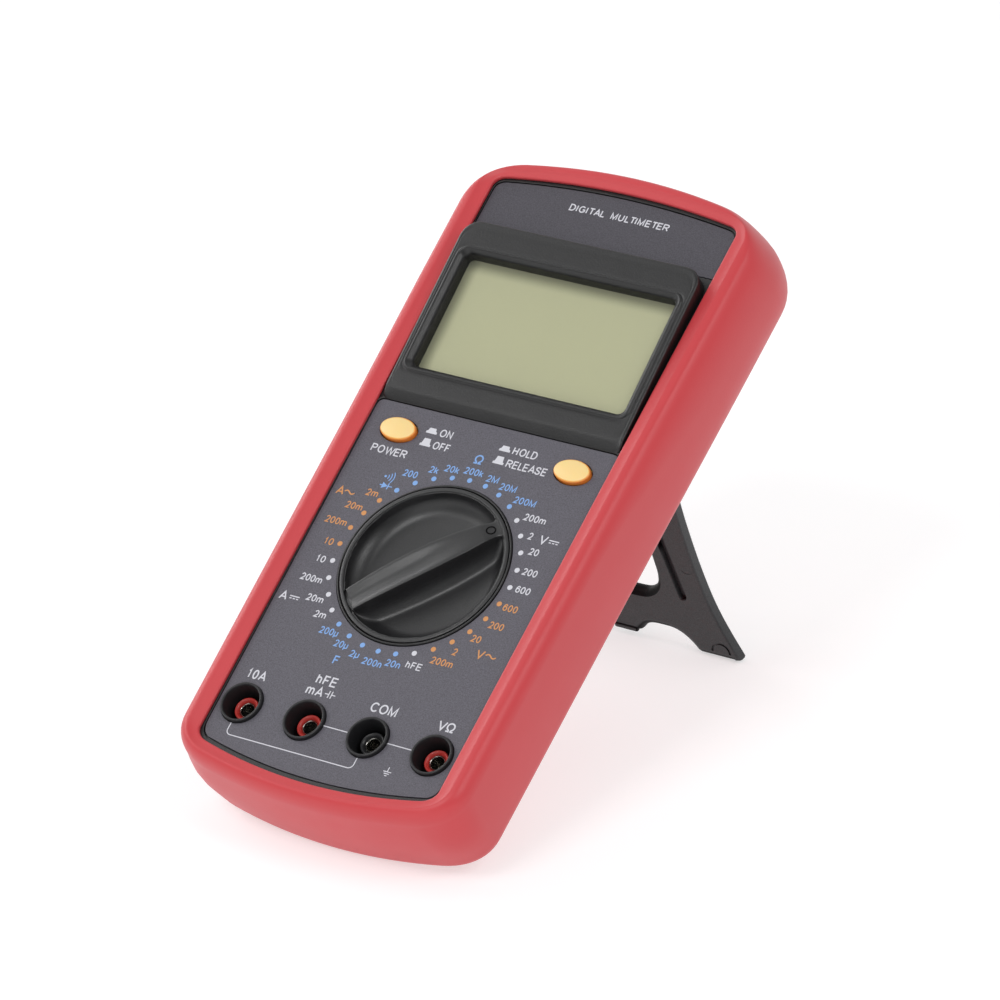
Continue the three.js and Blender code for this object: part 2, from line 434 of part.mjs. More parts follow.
// ------------------------------------------------------------------ tilt stand, opened
// Built flat: x across, +y away from the hinge, z through the thickness.
const mirrorX = pts => [...pts, ...pts.map(([x, y]) => [-x, y]).reverse()];
const standShape = (() => {
  const s = new THREE.Shape();
  const right = [...STAND_EDGE];
  // end of the stand: foot, arch, centre tab, arch, foot
  const arch = (x0, x1, top) => {
    const pts = [];
    for (let i = 0; i <= 10; i++) {
      const t = i / 10;
      pts.push([x0 + (x1 - x0) * t, STAND_LEN + 1 - (STAND_LEN + 1 - top) * Math.pow(Math.sin(Math.PI * t), 0.5)]);
    }
    return pts;
  };
  const pts = [];
  pts.push([16, 0]);
  for (const [x, y] of STAND_EDGE.slice(1)) pts.push([x, y]);
  pts[pts.length - 1] = [34.4, STAND_LEN + 1];
  pts.push(...arch(21.6, 4.3, 78.0));
  pts.push(...arch(-4.3, -21.6, 78.0));
  pts.push([-34.4, STAND_LEN + 1]);
  for (const [x, y] of STAND_EDGE.slice(1, -1).reverse()) pts.push([-x, y]);
  pts.push([-16, 0]);
  pts.forEach(([x, y], i) => (i ? s.lineTo(x, y) : s.moveTo(x, y)));
  s.closePath();
  // central opening, narrow at the hinge end
  const hole = new THREE.Path();
  hole.moveTo(-3.2, 30);
  hole.quadraticCurveTo(0, 27.5, 3.2, 30);
  hole.lineTo(8.7, 63);
  hole.quadraticCurveTo(10.2, 69.8, 6.0, 70.2);
  hole.lineTo(-6.0, 70.2);
  hole.quadraticCurveTo(-10.2, 69.8, -8.7, 63);
  hole.closePath();
  s.holes.push(hole);
  for (const sx of [-1, 1]) {
    const slot = new THREE.Path();
    [[13.2, 53.7], [14.4, 53.7], [19.4, 70.0], [18.2, 70.4]].forEach(([x, y], i) => (i ? slot.lineTo(sx * x, y) : slot.moveTo(sx * x, y)));
    slot.closePath();
    s.holes.push(slot);
  }
  return s;
})();
let stand = join(slab(standShape, -STAND_THICK / 2, STAND_THICK / 2, 5), cylX(-18.6, 18.6, 0, 0, 1.55, 16));
stand = cut(stand, cylX(-25, 25, 0, 0, 0.95, 12));
// closed, the stand points down the back (-y) with z through it; opened by STAND_OPEN about the hinge
const standMatrix = new THREE.Matrix4().makeTranslation(0, STAND_Y, STAND_Z)
  .multiply(new THREE.Matrix4().makeRotationX(rad(STAND_OPEN)))
  .multiply(new THREE.Matrix4().makeRotationX(Math.PI));
const floor = (() => {
  const g = new THREE.BoxGeometry(200, 300, 40);
  g.translate(0, 0, -20);
  const world = new THREE.Matrix4().makeTranslation(0, SHIFT, LIFT).multiply(new THREE.Matrix4().makeRotationX(rad(LEAN)));
  g.applyMatrix4(world.clone().invert());
  return solid(g);
})();
const standPlaced = (() => {
  const g = geometryOf(stand);
  g.deleteAttribute('normal');
  g.applyMatrix4(standMatrix);
  return solid(g);
})();
piece('stand', cut(standPlaced, floor), MAT.knob);
piece('stand_pin', cylX(-20.4, 20.4, STAND_Y, STAND_Z, 0.8, 12), MAT.steel);

// ------------------------------------------------------------------ lean the meter back on its stand
meter.rotation.x = rad(LEAN);
meter.position.set(0, SHIFT, LIFT);
const multimeter = new THREE.Group();
multimeter.name = 'digital_multimeter';
multimeter.add(meter);

export default multimeter;
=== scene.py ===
"""Handheld digital multimeter in a rubber holster, propped up on its open tilt stand.

Lengths are millimetres in the meter's own frame: x right, y up the face, z out of the face,
origin at the dial centre. "Head" is the +y end with the display, "foot" the -y end with the
jacks. add_object() carries each finished mesh into world metres.
"""

import itertools
import json
import math

import bmesh
import bpy
import numpy as np
from mathutils import Matrix, Vector


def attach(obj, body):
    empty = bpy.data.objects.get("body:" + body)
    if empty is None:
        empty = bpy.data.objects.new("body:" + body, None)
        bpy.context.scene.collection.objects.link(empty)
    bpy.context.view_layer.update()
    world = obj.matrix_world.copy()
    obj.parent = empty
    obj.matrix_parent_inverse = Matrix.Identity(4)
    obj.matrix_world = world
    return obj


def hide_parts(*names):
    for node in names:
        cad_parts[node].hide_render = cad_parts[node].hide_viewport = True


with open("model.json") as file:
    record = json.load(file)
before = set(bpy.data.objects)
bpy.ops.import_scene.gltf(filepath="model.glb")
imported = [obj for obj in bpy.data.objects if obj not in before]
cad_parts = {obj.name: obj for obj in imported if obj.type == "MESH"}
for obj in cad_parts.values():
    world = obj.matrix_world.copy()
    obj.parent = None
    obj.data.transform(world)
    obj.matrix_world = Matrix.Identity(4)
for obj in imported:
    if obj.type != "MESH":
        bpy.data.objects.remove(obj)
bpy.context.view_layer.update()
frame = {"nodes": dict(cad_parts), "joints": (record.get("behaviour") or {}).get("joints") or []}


JOINTS = {joint["name"]: joint for joint in frame["joints"]}

# The meter's frame comes from the selector's hinge
ORIGIN = Vector(JOINTS["selector_turn"]["pos_m"])
Z_AXIS = Vector(JOINTS["selector_turn"]["axis"]).normalized()
X_AXIS = Vector((1.0, 0.0, 0.0))
Y_AXIS = Z_AXIS.cross(X_AXIS).normalized()
TO_WORLD = Matrix([(x * 0.001, y * 0.001, z * 0.001, start)
                   for x, y, z, start in zip(X_AXIS, Y_AXIS, Z_AXIS, ORIGIN)] + [(0, 0, 0, 1)])

# ---------------------------------------------------------------------------
# Places shared by several pieces
# ---------------------------------------------------------------------------
JACKS = {"10a": -28.58, "ma": -9.53, "com": 9.53, "volt": 28.58}  # x of each jack
JACK_Y = -48.7
BUTTON_X, BUTTON_Y = 26.3, 34.5  # buttons stand at -x and +x
BUTTON_SIDES = (-1, 1)

# Case outlines: half width, y of the tip, height of the arched end and corner size at each end
HOLSTER = dict(head_half=44.7, head_tip=119.7, head_arch=2.6, head_corner=13.0,
               foot_half=43.0, foot_tip=-70.3, foot_arch=3.2, foot_corner=12.0)
LIP = dict(head_half=36.9, head_tip=114.3, head_arch=2.6, head_corner=3.2,
           foot_half=35.9, foot_tip=-65.0, foot_arch=3.6, foot_corner=4.0)
# Steps along foot arch, corner, +x side, corner, head arch, corner, -x side, corner
CASE_STEPS = (28, 12, 30, 12, 28, 12, 30, 12)

# ---------------------------------------------------------------------------
# Outlines: lists of (x, y), counter-clockwise unless noted
# ---------------------------------------------------------------------------


def smoothstep(t):
    t = min(1.0, max(0.0, t))
    return t * t * (3 - 2 * t)


def arc(x, y, radius_x, radius_y, start, end, steps):
    """Elliptic arc between two angles in degrees, both ends included."""
    angles = [math.radians(start + (end - start) * i / steps) for i in range(steps + 1)]
    return [(x + radius_x * math.cos(a), y + radius_y * math.sin(a)) for a in angles]


def ellipse(x, y, radius_x, radius_y, steps=64):
    angles = [2 * math.pi * i / steps for i in range(steps)]
    return [(x + radius_x * math.cos(a), y + radius_y * math.sin(a)) for a in angles]


def rounded_rect(half, y0, y1, head_radius, foot_radius, side_steps=(1, 1, 1, 1)):
    """Rectangle about x = 0, from its foot corner at +x; side_steps divide the four edges."""
    foot_x, foot_y = half - foot_radius, y0 + foot_radius
    head_x, head_y = half - head_radius, y1 - head_radius
    corners = [arc(x, y, radius, radius, start, start + 90, 8) for x, y, radius, start in (
        (foot_x, foot_y, foot_radius, -90), (head_x, head_y, head_radius, 0),
        (-head_x, head_y, head_radius, 90), (-foot_x, foot_y, foot_radius, 180))]
    points = []
    for corner, following, steps in zip(corners, corners[1:] + corners[:1], side_steps):
        (x, y), (end_x, end_y) = corner[-1], following[0]
        points += corner
        points += [(x + (end_x - x) * i / steps, y + (end_y - y) * i / steps)
                   for i in range(1, steps)]
    return points


def bezier(controls, steps):
    """Points of a Bezier curve of any degree, without its last one."""
    points = []
    for i in range(steps):
        t = i / steps
        level = [np.array(control, float) for control in controls]
        while len(level) > 1:
            level = [(1 - t) * a + t * b for a, b in zip(level[:-1], level[1:])]
        points.append(tuple(level[0]))
    return points


def mirrored(points):
    """The same curve on the other side of x = 0, run backwards."""
    return [(-x, y) for x, y in reversed(points)]


def case_end(shape, end, up, inset):
    """Control points of one end: corner from the +x side inwards, arch from +x to -x."""
    x = shape[end + "_half"] - inset
    tip = shape[end + "_tip"] - up * inset
    arch = shape[end + "_arch"]
    radius = max(shape[end + "_corner"] - inset, 0.8)
    edge = tip - up * arch
    slope = 2 * arch / (x - radius)
    corner = [(x, edge - up * radius), (x, edge - up * radius * 0.45),
              (x - radius * 0.45, edge - up * slope * radius * 0.55), (x - radius, edge)]
    return corner, [(x - radius, edge), (0, 2 * tip - edge), (-(x - radius), edge)]


def case_outline(shape, inset=0.0):
    """Arched ends, tapering sides, rounded corners."""
    head_corner, head_arch = case_end(shape, "head", 1, inset)
    foot_corner, foot_arch = case_end(shape, "foot", -1, inset)
    right = [foot_corner[::-1], [foot_corner[0], head_corner[0]], head_corner]
    left = [mirrored(piece) for piece in reversed(right)]
    pieces = [foot_arch[::-1]] + right + [head_arch] + left
    return [p for piece, steps in zip(pieces, CASE_STEPS) for p in bezier(piece, steps)]


# (x, y) along the +x side of the hollow for the folded stand, before smoothing
RECESS_SIDE = [(35.9, -5.6), (35.9, 2.0), (29.7, 14.0), (23.4, 30.0), (20.4, 52.0), (19.0, 82.6)]
RECESS_CORNER = 1.3
RECESS_SMOOTHING = 17  # samples on either side of each smoothed one


def walk(points, fractions):
    """Points at the given fractions of a polyline's length."""
    points = np.array(points)
    length = np.r_[0, np.cumsum(np.hypot(*np.diff(points, axis=0).T))]
    where = np.array(fractions) * length[-1]
    return [(float(np.interp(v, length, points[:, 0])), float(np.interp(v, length, points[:, 1])))
            for v in where]


def recess_outline(grow=0.0):
    """Hollow in the back for the folded stand, with as many points as case_outline()."""
    side = np.array(RECESS_SIDE) + [grow, 0.0]
    side[0, 1] -= grow
    side[-1, 1] += grow
    y0, y1 = side[0, 1], side[-1, 1]
    radius = RECESS_CORNER + grow
    # smooth the side, continued straight past both ends
    dense = np.array(walk(side, np.linspace(0, 1, 241)))
    reach = RECESS_SMOOTHING
    before = np.repeat(dense[:1], reach, 0)
    before = before + (dense[:1] - dense[1:2]) * np.arange(reach, 0, -1)[:, None]
    after = np.repeat(dense[-1:], reach, 0)
    after = after + (dense[-1:] - dense[-2:-1]) * np.arange(1, reach + 1)[:, None]
    padded = np.vstack([before, dense, after])
    weights = np.hanning(2 * reach + 1)
    weights /= weights.sum()
    side = np.array([(padded[i:i + 2 * reach + 1] * weights[:, None]).sum(0)
                     for i in range(len(dense))])
    side = side[(side[:, 1] >= y0 + radius) & (side[:, 1] <= y1 - radius)]
    foot_x, head_x = side[0, 0] - radius, side[-1, 0] - radius
    foot_y, head_y = y0 + radius, y1 - radius

    def corner(x, y, start, steps):
        return arc(x, y, radius, radius, start, start + 90, steps)[:-1]

    steps = CASE_STEPS
    left = walk(side[::-1], [i / steps[6] for i in range(steps[6])])
    return (bezier([(-foot_x, y0), (foot_x, y0)], steps[0])
            + corner(foot_x, foot_y, -90, steps[1])
            + walk(side, [i / steps[2] for i in range(steps[2])])
            + corner(head_x, head_y, 0, steps[3])
            + bezier([(head_x, y1), (-head_x, y1)], steps[4])
            + corner(-head_x, head_y, 90, steps[5])
            + [(-x, y) for x, y in left]
            + corner(-foot_x, foot_y, 180, steps[7]))


def at_z(points, z):
    return [(x, y, z) for x, y in points]


def mix_loops(first, second, t, z):
    return [(a[0] + (b[0] - a[0]) * t, a[1] + (b[1] - a[1]) * t, z)
            for a, b in zip(first, second)]


# ---------------------------------------------------------------------------
# Mesh helpers: each adds to a bmesh in millimetres
# ---------------------------------------------------------------------------


def add_object(mesh, name, material, slot, replaces=None, body="meter_body", matrix=Matrix(),
               smooth=35.0, weld=1e-4, weighted=True):
    bmesh.ops.remove_doubles(mesh, verts=mesh.verts, dist=weld)
    bmesh.ops.recalc_face_normals(mesh, faces=mesh.faces)
    data = bpy.data.meshes.new(name)
    mesh.to_mesh(data)
    mesh.free()
    data.transform(TO_WORLD @ matrix)
    data.shade_smooth()
    data.set_sharp_from_angle(angle=math.radians(smooth))
    made = bpy.data.objects.new(name, data)
    bpy.context.scene.collection.objects.link(made)
    if weighted:
        modifier = made.modifiers.new("normals", "WEIGHTED_NORMAL")
        modifier.keep_sharp = True
        modifier.mode = "FACE_AREA"
    data.materials.append(MATERIALS[material])
    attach(made, body)
    if replaces:
        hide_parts(replaces)


def add_loops(mesh, loops, ends="capped"):
    """Quads between closed loops of equal length; ends are "capped", "open" or a "ring"."""
    rows = [[mesh.verts.new(tuple(map(float, point))) for point in loop] for loop in loops]
    pairs = list(zip(rows[:-1], rows[1:]))
    if ends == "ring":
        pairs.append((rows[-1], rows[0]))
    count = len(rows[0])
    for first, second in pairs:
        for i in range(count):
            j = (i + 1) % count
            mesh.faces.new((first[i], first[j], second[j], second[i]))
    if ends == "capped":
        mesh.faces.new(list(reversed(rows[0])))
        mesh.faces.new(rows[-1])
    return rows


def lathe(mesh, profile, steps, x=0.0, y=0.0):
    """Turn a (radius, z) profile: from axis to axis, or closed on itself if it starts off it."""
    def loop(radius, z):
        return at_z(ellipse(x, y, radius, radius, steps), z)

    if profile[0][0] > 0:
        add_loops(mesh, [loop(*point) for point in profile], ends="ring")
        return
    rows = add_loops(mesh, [loop(*point) for point in profile[1:-1]], ends="open")
    start = mesh.verts.new((x, y, profile[0][1]))
    for i in range(steps):
        mesh.faces.new((start, rows[0][(i + 1) % steps], rows[0][i]))
    end = mesh.verts.new((x, y, profile[-1][1]))
    for i in range(steps):
        mesh.faces.new((end, rows[-1][i], rows[-1][(i + 1) % steps]))


def evaluated_mesh(source):
    graph = bpy.context.evaluated_depsgraph_get()
    graph.update()
    return bpy.data.meshes.new_from_object(source.evaluated_get(graph))


def add_plate(mesh, outer, holes, z0, z1, bevel, bevel_steps):
    """Flat plate with holes and rounded rims, filled by a temporary curve."""
    curve = bpy.data.curves.new("plate", "CURVE")
    curve.dimensions = "2D"
    curve.fill_mode = "BOTH"
    curve.extrude = (z1 - z0) / 2 - bevel
    curve.bevel_depth = bevel
    curve.bevel_resolution = bevel_steps
    curve.offset = -bevel
    for outline in [outer] + holes:
        spline = curve.splines.new("POLY")
        spline.points.add(len(outline) - 1)
        for point, (x, y) in zip(spline.points, outline):
            point.co = (x, y, 0, 1)
        spline.use_cyclic_u = True
    temporary = bpy.data.objects.new("plate", curve)
    bpy.context.scene.collection.objects.link(temporary)
    data = evaluated_mesh(temporary)
    bpy.data.objects.remove(temporary)
    bpy.data.curves.remove(curve)
    data.transform(Matrix.Translation((0, 0, (z0 + z1) / 2)))
    piece = bmesh.new()
    piece.from_mesh(data)
    bmesh.ops.remove_doubles(piece, verts=piece.verts, dist=1e-3)
    piece.to_mesh(data)
    piece.free()
    mesh.from_mesh(data)
    bpy.data.meshes.remove(data)


# ---------------------------------------------------------------------------
# Shader helpers
# ---------------------------------------------------------------------------


def srgb(red, green, blue):
    """0-255 display colour to linear RGBA."""
    def linear(c):
        c /= 255.0
        return c / 12.92 if c <= 0.04045 else ((c + 0.055) / 1.055) ** 2.4
    return (linear(red), linear(green), linear(blue), 1.0)


def scaled(color, factor):
    return tuple(min(1.0, c * factor) for c in color[:3]) + (1.0,)


class Shader:
    """Shorthands for adding nodes to a tree; inputs are values or the sockets that feed them."""

    def __init__(self, tree):
        self.tree = tree
        self.coords = self.node("TexCoord", {}).outputs

    def feed(self, node, key, value):
        if isinstance(value, bpy.types.NodeSocket):
            self.tree.links.new(value, node.inputs[key])
        else:
            node.inputs[key].default_value = value

    def node(self, kind, inputs, **settings):
        made = self.tree.nodes.new("ShaderNode" + kind)
        for key, value in settings.items():
            setattr(made, key, value)
        for key, value in inputs.items():
            self.feed(made, key, value)
        return made

    def math(self, operation, *values):
        return self.node("Math", dict(enumerate(values)), operation=operation).outputs[0]

    def mix(self, factor, first, second):
        inputs = {0: factor, 6: first, 7: second}
        return self.node("Mix", inputs, data_type="RGBA").outputs[2]

    def noise(self, size_mm, detail=2.0, roughness=0.5):
        inputs = {"Scale": 1000.0 / size_mm, "Detail": detail, "Roughness": roughness,
                  "Vector": self.coords["Object"]}
        return self.node("TexNoise", inputs).outputs["Fac"]

    def bump(self, height, depth_mm, **inputs):
        inputs.update(Height=height, Distance=depth_mm / 1000.0)
        return self.node("Bump", inputs).outputs[0]

    def offset_from(self, world_point):
        inputs = {0: self.coords["Object"], 1: tuple(world_point)}
        return self.node("VectorMath", inputs, operation="SUBTRACT").outputs[0]

    def dot(self, vector, direction):
        inputs = {0: vector, 1: tuple(direction)}
        return self.node("VectorMath", inputs, operation="DOT_PRODUCT").outputs["Value"]

    def smooth_range(self, value, start, end, low=0.0, high=1.0):
        """Ease from low at start to high at end."""
        inputs = {"From Min": start, "From Max": end, "To Min": low, "To Max": high,
                  "Value": value}
        made = self.node("MapRange", inputs, interpolation_type="SMOOTHSTEP")
        return made.outputs["Result"]


def blank_material(name):
    made = bpy.data.materials.new(name)
    made.use_nodes = True
    made.node_tree.nodes.clear()
    return made, Shader(made.node_tree)


def surface_material(name, rgb, rough=0.5, rough_vary=0.06, metal=0.0, spec=0.5,
                     vary=0.06, vary_mm=18.0, speck=0.0, grain=0.01, grain_mm=0.35,
                     fine=0.0, fine_mm=None, coat=0.0, sheen=0.0, sheen_tint=(1, 1, 1, 1),
                     scatter=0.0, scatter_radius=(1, 0.4, 0.2), tint=None):
    """Principled surface with uneven colour and roughness and a fine bumpy grain.

    vary and vary_mm are the strength and size of the colour drift, speck the contrast of small
    flecks, grain and fine the depths in mm of two bumps of size grain_mm and fine_mm. tint
    is a function that repaints the colour: traces on the board, painted shadow on the display,
    painted highlight and shade on the buttons.
    """
    made, shader = blank_material(name)
    base = srgb(*rgb)
    color = shader.mix(shader.noise(vary_mm, 3.0), scaled(base, 1 - vary), scaled(base, 1 + vary))
    if speck > 0:
        flecks = shader.math("SUBTRACT", shader.noise(0.30, 1.0), 0.5)
        flecks = shader.math("ADD", 0.5, shader.math("MULTIPLY", flecks, speck * 2))
        color = shader.mix(flecks, scaled(base, 0.6), scaled(base, 1.4))
    if tint:
        color = tint(shader, color)
    drift = shader.math("MULTIPLY", shader.noise(6.0, 4.0), 2 * rough_vary)
    roughness = shader.math("ADD", rough - rough_vary, drift)
    normal = shader.bump(shader.noise(grain_mm, 2.0, 0.6), grain)
    if fine_mm:
        normal = shader.bump(shader.noise(fine_mm, 1.0), fine, Normal=normal)
    inputs = {
        "Base Color": color, "Roughness": roughness, "Metallic": metal, "Normal": normal,
        "Specular IOR Level": spec, "Coat Weight": coat, "Coat Roughness": 0.2,
        "Sheen Weight": sheen, "Sheen Roughness": 0.4, "Sheen Tint": sheen_tint,
    }
    if scatter > 0:
        inputs.update({"Subsurface Weight": scatter, "Subsurface Radius": scatter_radius,
                       "Subsurface Scale": 0.001})
    bsdf = shader.node("BsdfPrincipled", inputs)
    shader.node("OutputMaterial", {0: bsdf.outputs[0]})
    return made


def trace_tint(shader, color):
    """Pale green lines of a cell pattern, like circuit traces."""
    cells = shader.node("TexVoronoi", {"Scale": 1000.0 / 7.0, "Vector": shader.coords["Object"]},
                        feature="DISTANCE_TO_EDGE")
    line = shader.math("LESS_THAN", cells.outputs["Distance"], 0.05)
    return shader.mix(line, color, srgb(60, 124, 74))


def display_tint(shader, color):
    """Shadow of the frame on the display along its head and its -x side."""
    offset = shader.offset_from(TO_WORLD @ Vector((-31.8, 86.3, 0.0)))
    shades = [shader.smooth_range(shader.dot(offset, direction * 1000.0),
                                  start=0.2, end=4.2, low=0.40, high=1.0)
              for direction in (X_AXIS, -Y_AXIS)]
    return shader.mix(shader.math("MULTIPLY", *shades), srgb(52, 54, 46), color)


def button_painted_light(shader, color):
    """Painted light: pale highlight on the crown, deeper amber shade on the flank."""
    geometry = shader.node("NewGeometry", {})
    ramp = shader.node("ValToRGB", {0: shader.dot(geometry.outputs["Normal"], Z_AXIS)})
    flank, crown = ramp.color_ramp.elements
    flank.position, flank.color = 0.35, srgb(222, 118, 44)
    crown.position, crown.color = 0.985, srgb(238, 214, 150)
    ramp.color_ramp.elements.new(0.82).color = srgb(236, 168, 78)
    return shader.mix(0.85, color, ramp.outputs[0])


def clear_material(name):
    """Thin clear window: see-through with a faint wavy gloss."""
    made, shader = blank_material(name)
    through = shader.node("BsdfTransparent", {0: (0.985, 0.99, 0.985, 1)})
    normal = shader.bump(shader.noise(1000.0 / 120), 0.0004)
    gloss = shader.node("BsdfGlossy", {"Roughness": 0.12, "Normal": normal})
    fresnel = shader.node("Fresnel", {"IOR": 1.22, "Normal": normal})
    mixed = shader.node("MixShader", {0: fresnel.outputs[0], 1: through.outputs[0],
                                      2: gloss.outputs[0]})
    shader.node("OutputMaterial", {0: mixed.outputs[0]})
    return made


# ---------------------------------------------------------------------------
# Materials
# ---------------------------------------------------------------------------
LABEL = dict(rough=0.48, rough_vary=0.05, spec=0.4, vary=0.04, vary_mm=25, grain=0.016, speck=0.7)
INK = dict(vary=0.03, grain=0.003, grain_mm=0.3)
FINISHES = {
    "holster_rubber": dict(
        rgb=(195, 56, 62), rough=0.45, rough_vary=0.04, spec=0.55, vary=0.05, vary_mm=40,
        grain=0.014, grain_mm=0.5, fine=0.02, fine_mm=5, sheen=0.15,
        sheen_tint=(1.0, 0.72, 0.78, 1)),
    "cover_plastic": dict(
        rgb=(13, 13, 14), rough=0.41, rough_vary=0.05, spec=0.66, vary=0.1, vary_mm=12,
        grain=0.05, grain_mm=0.5, speck=1.2),
    "face_label_film": dict(rgb=(87, 85, 93), **LABEL),
    # same film as the lower label in a darker colour: painted shade on the upper label
    "face_label_film_top_painted_shade": dict(rgb=(73, 71, 78), **LABEL),
    "knob_plastic": dict(
        rgb=(17, 17, 19), rough=0.42, rough_vary=0.05, spec=0.78, vary=0.1, vary_mm=14,
        grain=0.03, grain_mm=0.4, speck=1.1),
    "stand_plastic": dict(
        rgb=(47, 48, 50), rough=0.42, rough_vary=0.07, vary=0.12, vary_mm=10,
        grain=0.03, grain_mm=0.5, speck=1.1),
    # near black and dull: painted shade standing in for the engraved pointer groove
    "pointer_groove_painted_shade": dict(rgb=(8, 8, 9), rough=0.8, spec=0.12, vary=0.1, grain_mm=0.3),
    "jack_plastic": dict(
        rgb=(30, 30, 32), rough=0.42, spec=0.4, vary=0.12, grain=0.014, grain_mm=0.4),
    "red_insulator": dict(
        rgb=(180, 48, 42), rough=0.38, vary=0.08, vary_mm=4, grain=0.008, grain_mm=0.3,
        scatter=0.1),
    "black_insulator": dict(
        rgb=(34, 34, 36), rough=0.35, vary=0.1, vary_mm=4, grain=0.008, grain_mm=0.3),
    "nickel_plate": dict(
        rgb=(206, 204, 198), rough=0.22, rough_vary=0.08, metal=1.0, vary_mm=3,
        grain=0.004, grain_mm=0.6),
    "brass_strip": dict(
        rgb=(206, 172, 96), rough=0.3, rough_vary=0.08, metal=1.0, vary=0.08, vary_mm=4,
        grain=0.004, grain_mm=0.5),
    "plated_steel": dict(
        rgb=(188, 190, 194), rough=0.32, rough_vary=0.1, metal=1.0, vary=0.07, vary_mm=5,
        grain=0.004, grain_mm=0.4),
    "print_white": dict(rgb=(204, 204, 211), **INK),
    "print_blue": dict(rgb=(122, 162, 216), **INK),
    "print_orange": dict(rgb=(200, 138, 82), **INK),
    "white_moulding": dict(rgb=(222, 218, 206), vary=0.05, vary_mm=9, grain_mm=0.4),
    "zebra_elastomer": dict(
        rgb=(196, 120, 140), rough=0.6, vary=0.12, vary_mm=1.0, grain_mm=0.2),
    "moulded_epoxy": dict(rgb=(30, 30, 33), rough=0.55, vary=0.15, vary_mm=3, grain_mm=0.15),
    "blue_sleeve": dict(
        rgb=(40, 84, 160), rough=0.35, vary=0.08, vary_mm=4, grain=0.006, grain_mm=0.3,
        coat=0.3),
    "resistance_wire": dict(
        rgb=(190, 128, 86), rough=0.35, metal=1.0, vary=0.1, vary_mm=3,
        grain=0.004, grain_mm=0.3),
    "battery_sleeve": dict(
        rgb=(52, 54, 60), rough=0.3, metal=0.4, vary=0.1, vary_mm=12,
        grain=0.004, grain_mm=0.5, coat=0.3),
    "red_insulation": dict(
        rgb=(176, 32, 34), rough=0.42, vary=0.08, vary_mm=4, grain=0.006, grain_mm=0.3),
    "black_insulation": dict(
        rgb=(26, 26, 28), rough=0.42, vary=0.1, vary_mm=4, grain=0.006, grain_mm=0.3),
    "solder_mask": dict(
        rgb=(26, 84, 46), rough=0.35, vary=0.08, vary_mm=8, grain=0.006, grain_mm=0.4,
        coat=0.4, tint=trace_tint),
    "display_polariser": dict(
        rgb=(198, 197, 163), rough=0.40, rough_vary=0.03, spec=0.3, vary=0.012, vary_mm=14,
        grain=0.003, grain_mm=0.25, tint=display_tint),
    # amber plastic; its tint paints a highlight on the crown and shade on the flank
    "button_plastic": dict(
        rgb=(244, 176, 84), rough=0.34, vary=0.03, vary_mm=5, grain=0.006, grain_mm=0.4,
        scatter=0.25, scatter_radius=(1.0, 0.5, 0.15), tint=button_painted_light),
}
MATERIALS = {name: surface_material(name, **finish) for name, finish in FINISHES.items()}
MATERIALS["clear_window"] = clear_material("clear_window")

# ---------------------------------------------------------------------------
# Rubber holster
# ---------------------------------------------------------------------------
CREST, CREST_Z = 0.46, 1.97  # ridge: share of the way from lip to wall, and its height
BACK_Z = -25.5
FOOT_EDGE_Z, HEAD_EDGE_Z = -3.1, -11.9  # where the outer edge has turned into the wall
HEAD_BULGE = 1.8
# (share of the way from lip to wall, z) on the slope up to the ridge
RIDGE = ((0.06, 1.36), (0.14, 1.42), (0.23, 1.52), (0.32, 1.67), (0.40, 1.86), (CREST, CREST_Z))
# (inset, z, foot corner) down the wall at the foot
FOOT_WALL = ((0.0, -3.6, 11.9), (-0.15, -7.0, 10.9), (-0.25, -10.8, 10.1), (-0.2, -14.8, 10.2),
             (0.0, -18.6, 11.3))


def holster_sides(lip, wall):
    """Outer edge, wall and back edge: flat-sided at the foot, bowed at the head."""
    foot, head = [], []
    for k in range(1, 11):
        out = math.sin(math.radians(8.4 * k))
        fall = math.sqrt(1 - out * out)
        t = CREST + (1 - CREST) * out
        foot.append(mix_loops(lip, wall, t, FOOT_EDGE_Z + (CREST_Z - FOOT_EDGE_Z) * fall))
        full = case_outline(dict(HOLSTER, head_corner=17.5 - 3.5 * (1 - fall)), -HEAD_BULGE)
        head.append(mix_loops(lip, full, t, HEAD_EDGE_Z + (CREST_Z - HEAD_EDGE_Z) * fall))
    for inset, z, corner in FOOT_WALL:
        foot.append(at_z(case_outline(dict(HOLSTER, foot_corner=corner), inset), z))
    for inset, z in arc(4.95, -20.7, 4.8, 4.8, 184, 270, 8):
        foot.append(at_z(case_outline(HOLSTER, inset), z))
    rows, power = len(foot) - len(head), 2.6
    for k in range(rows):
        drop = math.sin(math.radians(2.0 + 88.0 * k / (rows - 1)))
        inset = -HEAD_BULGE + 7.0 * (1 - (1 - drop ** power) ** (1 / power))
        z = HEAD_EDGE_Z - (HEAD_EDGE_Z - BACK_Z) * drop
        head.append(at_z(case_outline(dict(HOLSTER, head_corner=14.0), inset), z))
    for foot_loop, head_loop in zip(foot, head):
        loop = []
        for a, b in zip(foot_loop, head_loop):
            t = smoothstep((a[1] - 5.0) / 85.0)
            loop.append(tuple(a[i] + (b[i] - a[i]) * t for i in range(3)))
        yield loop


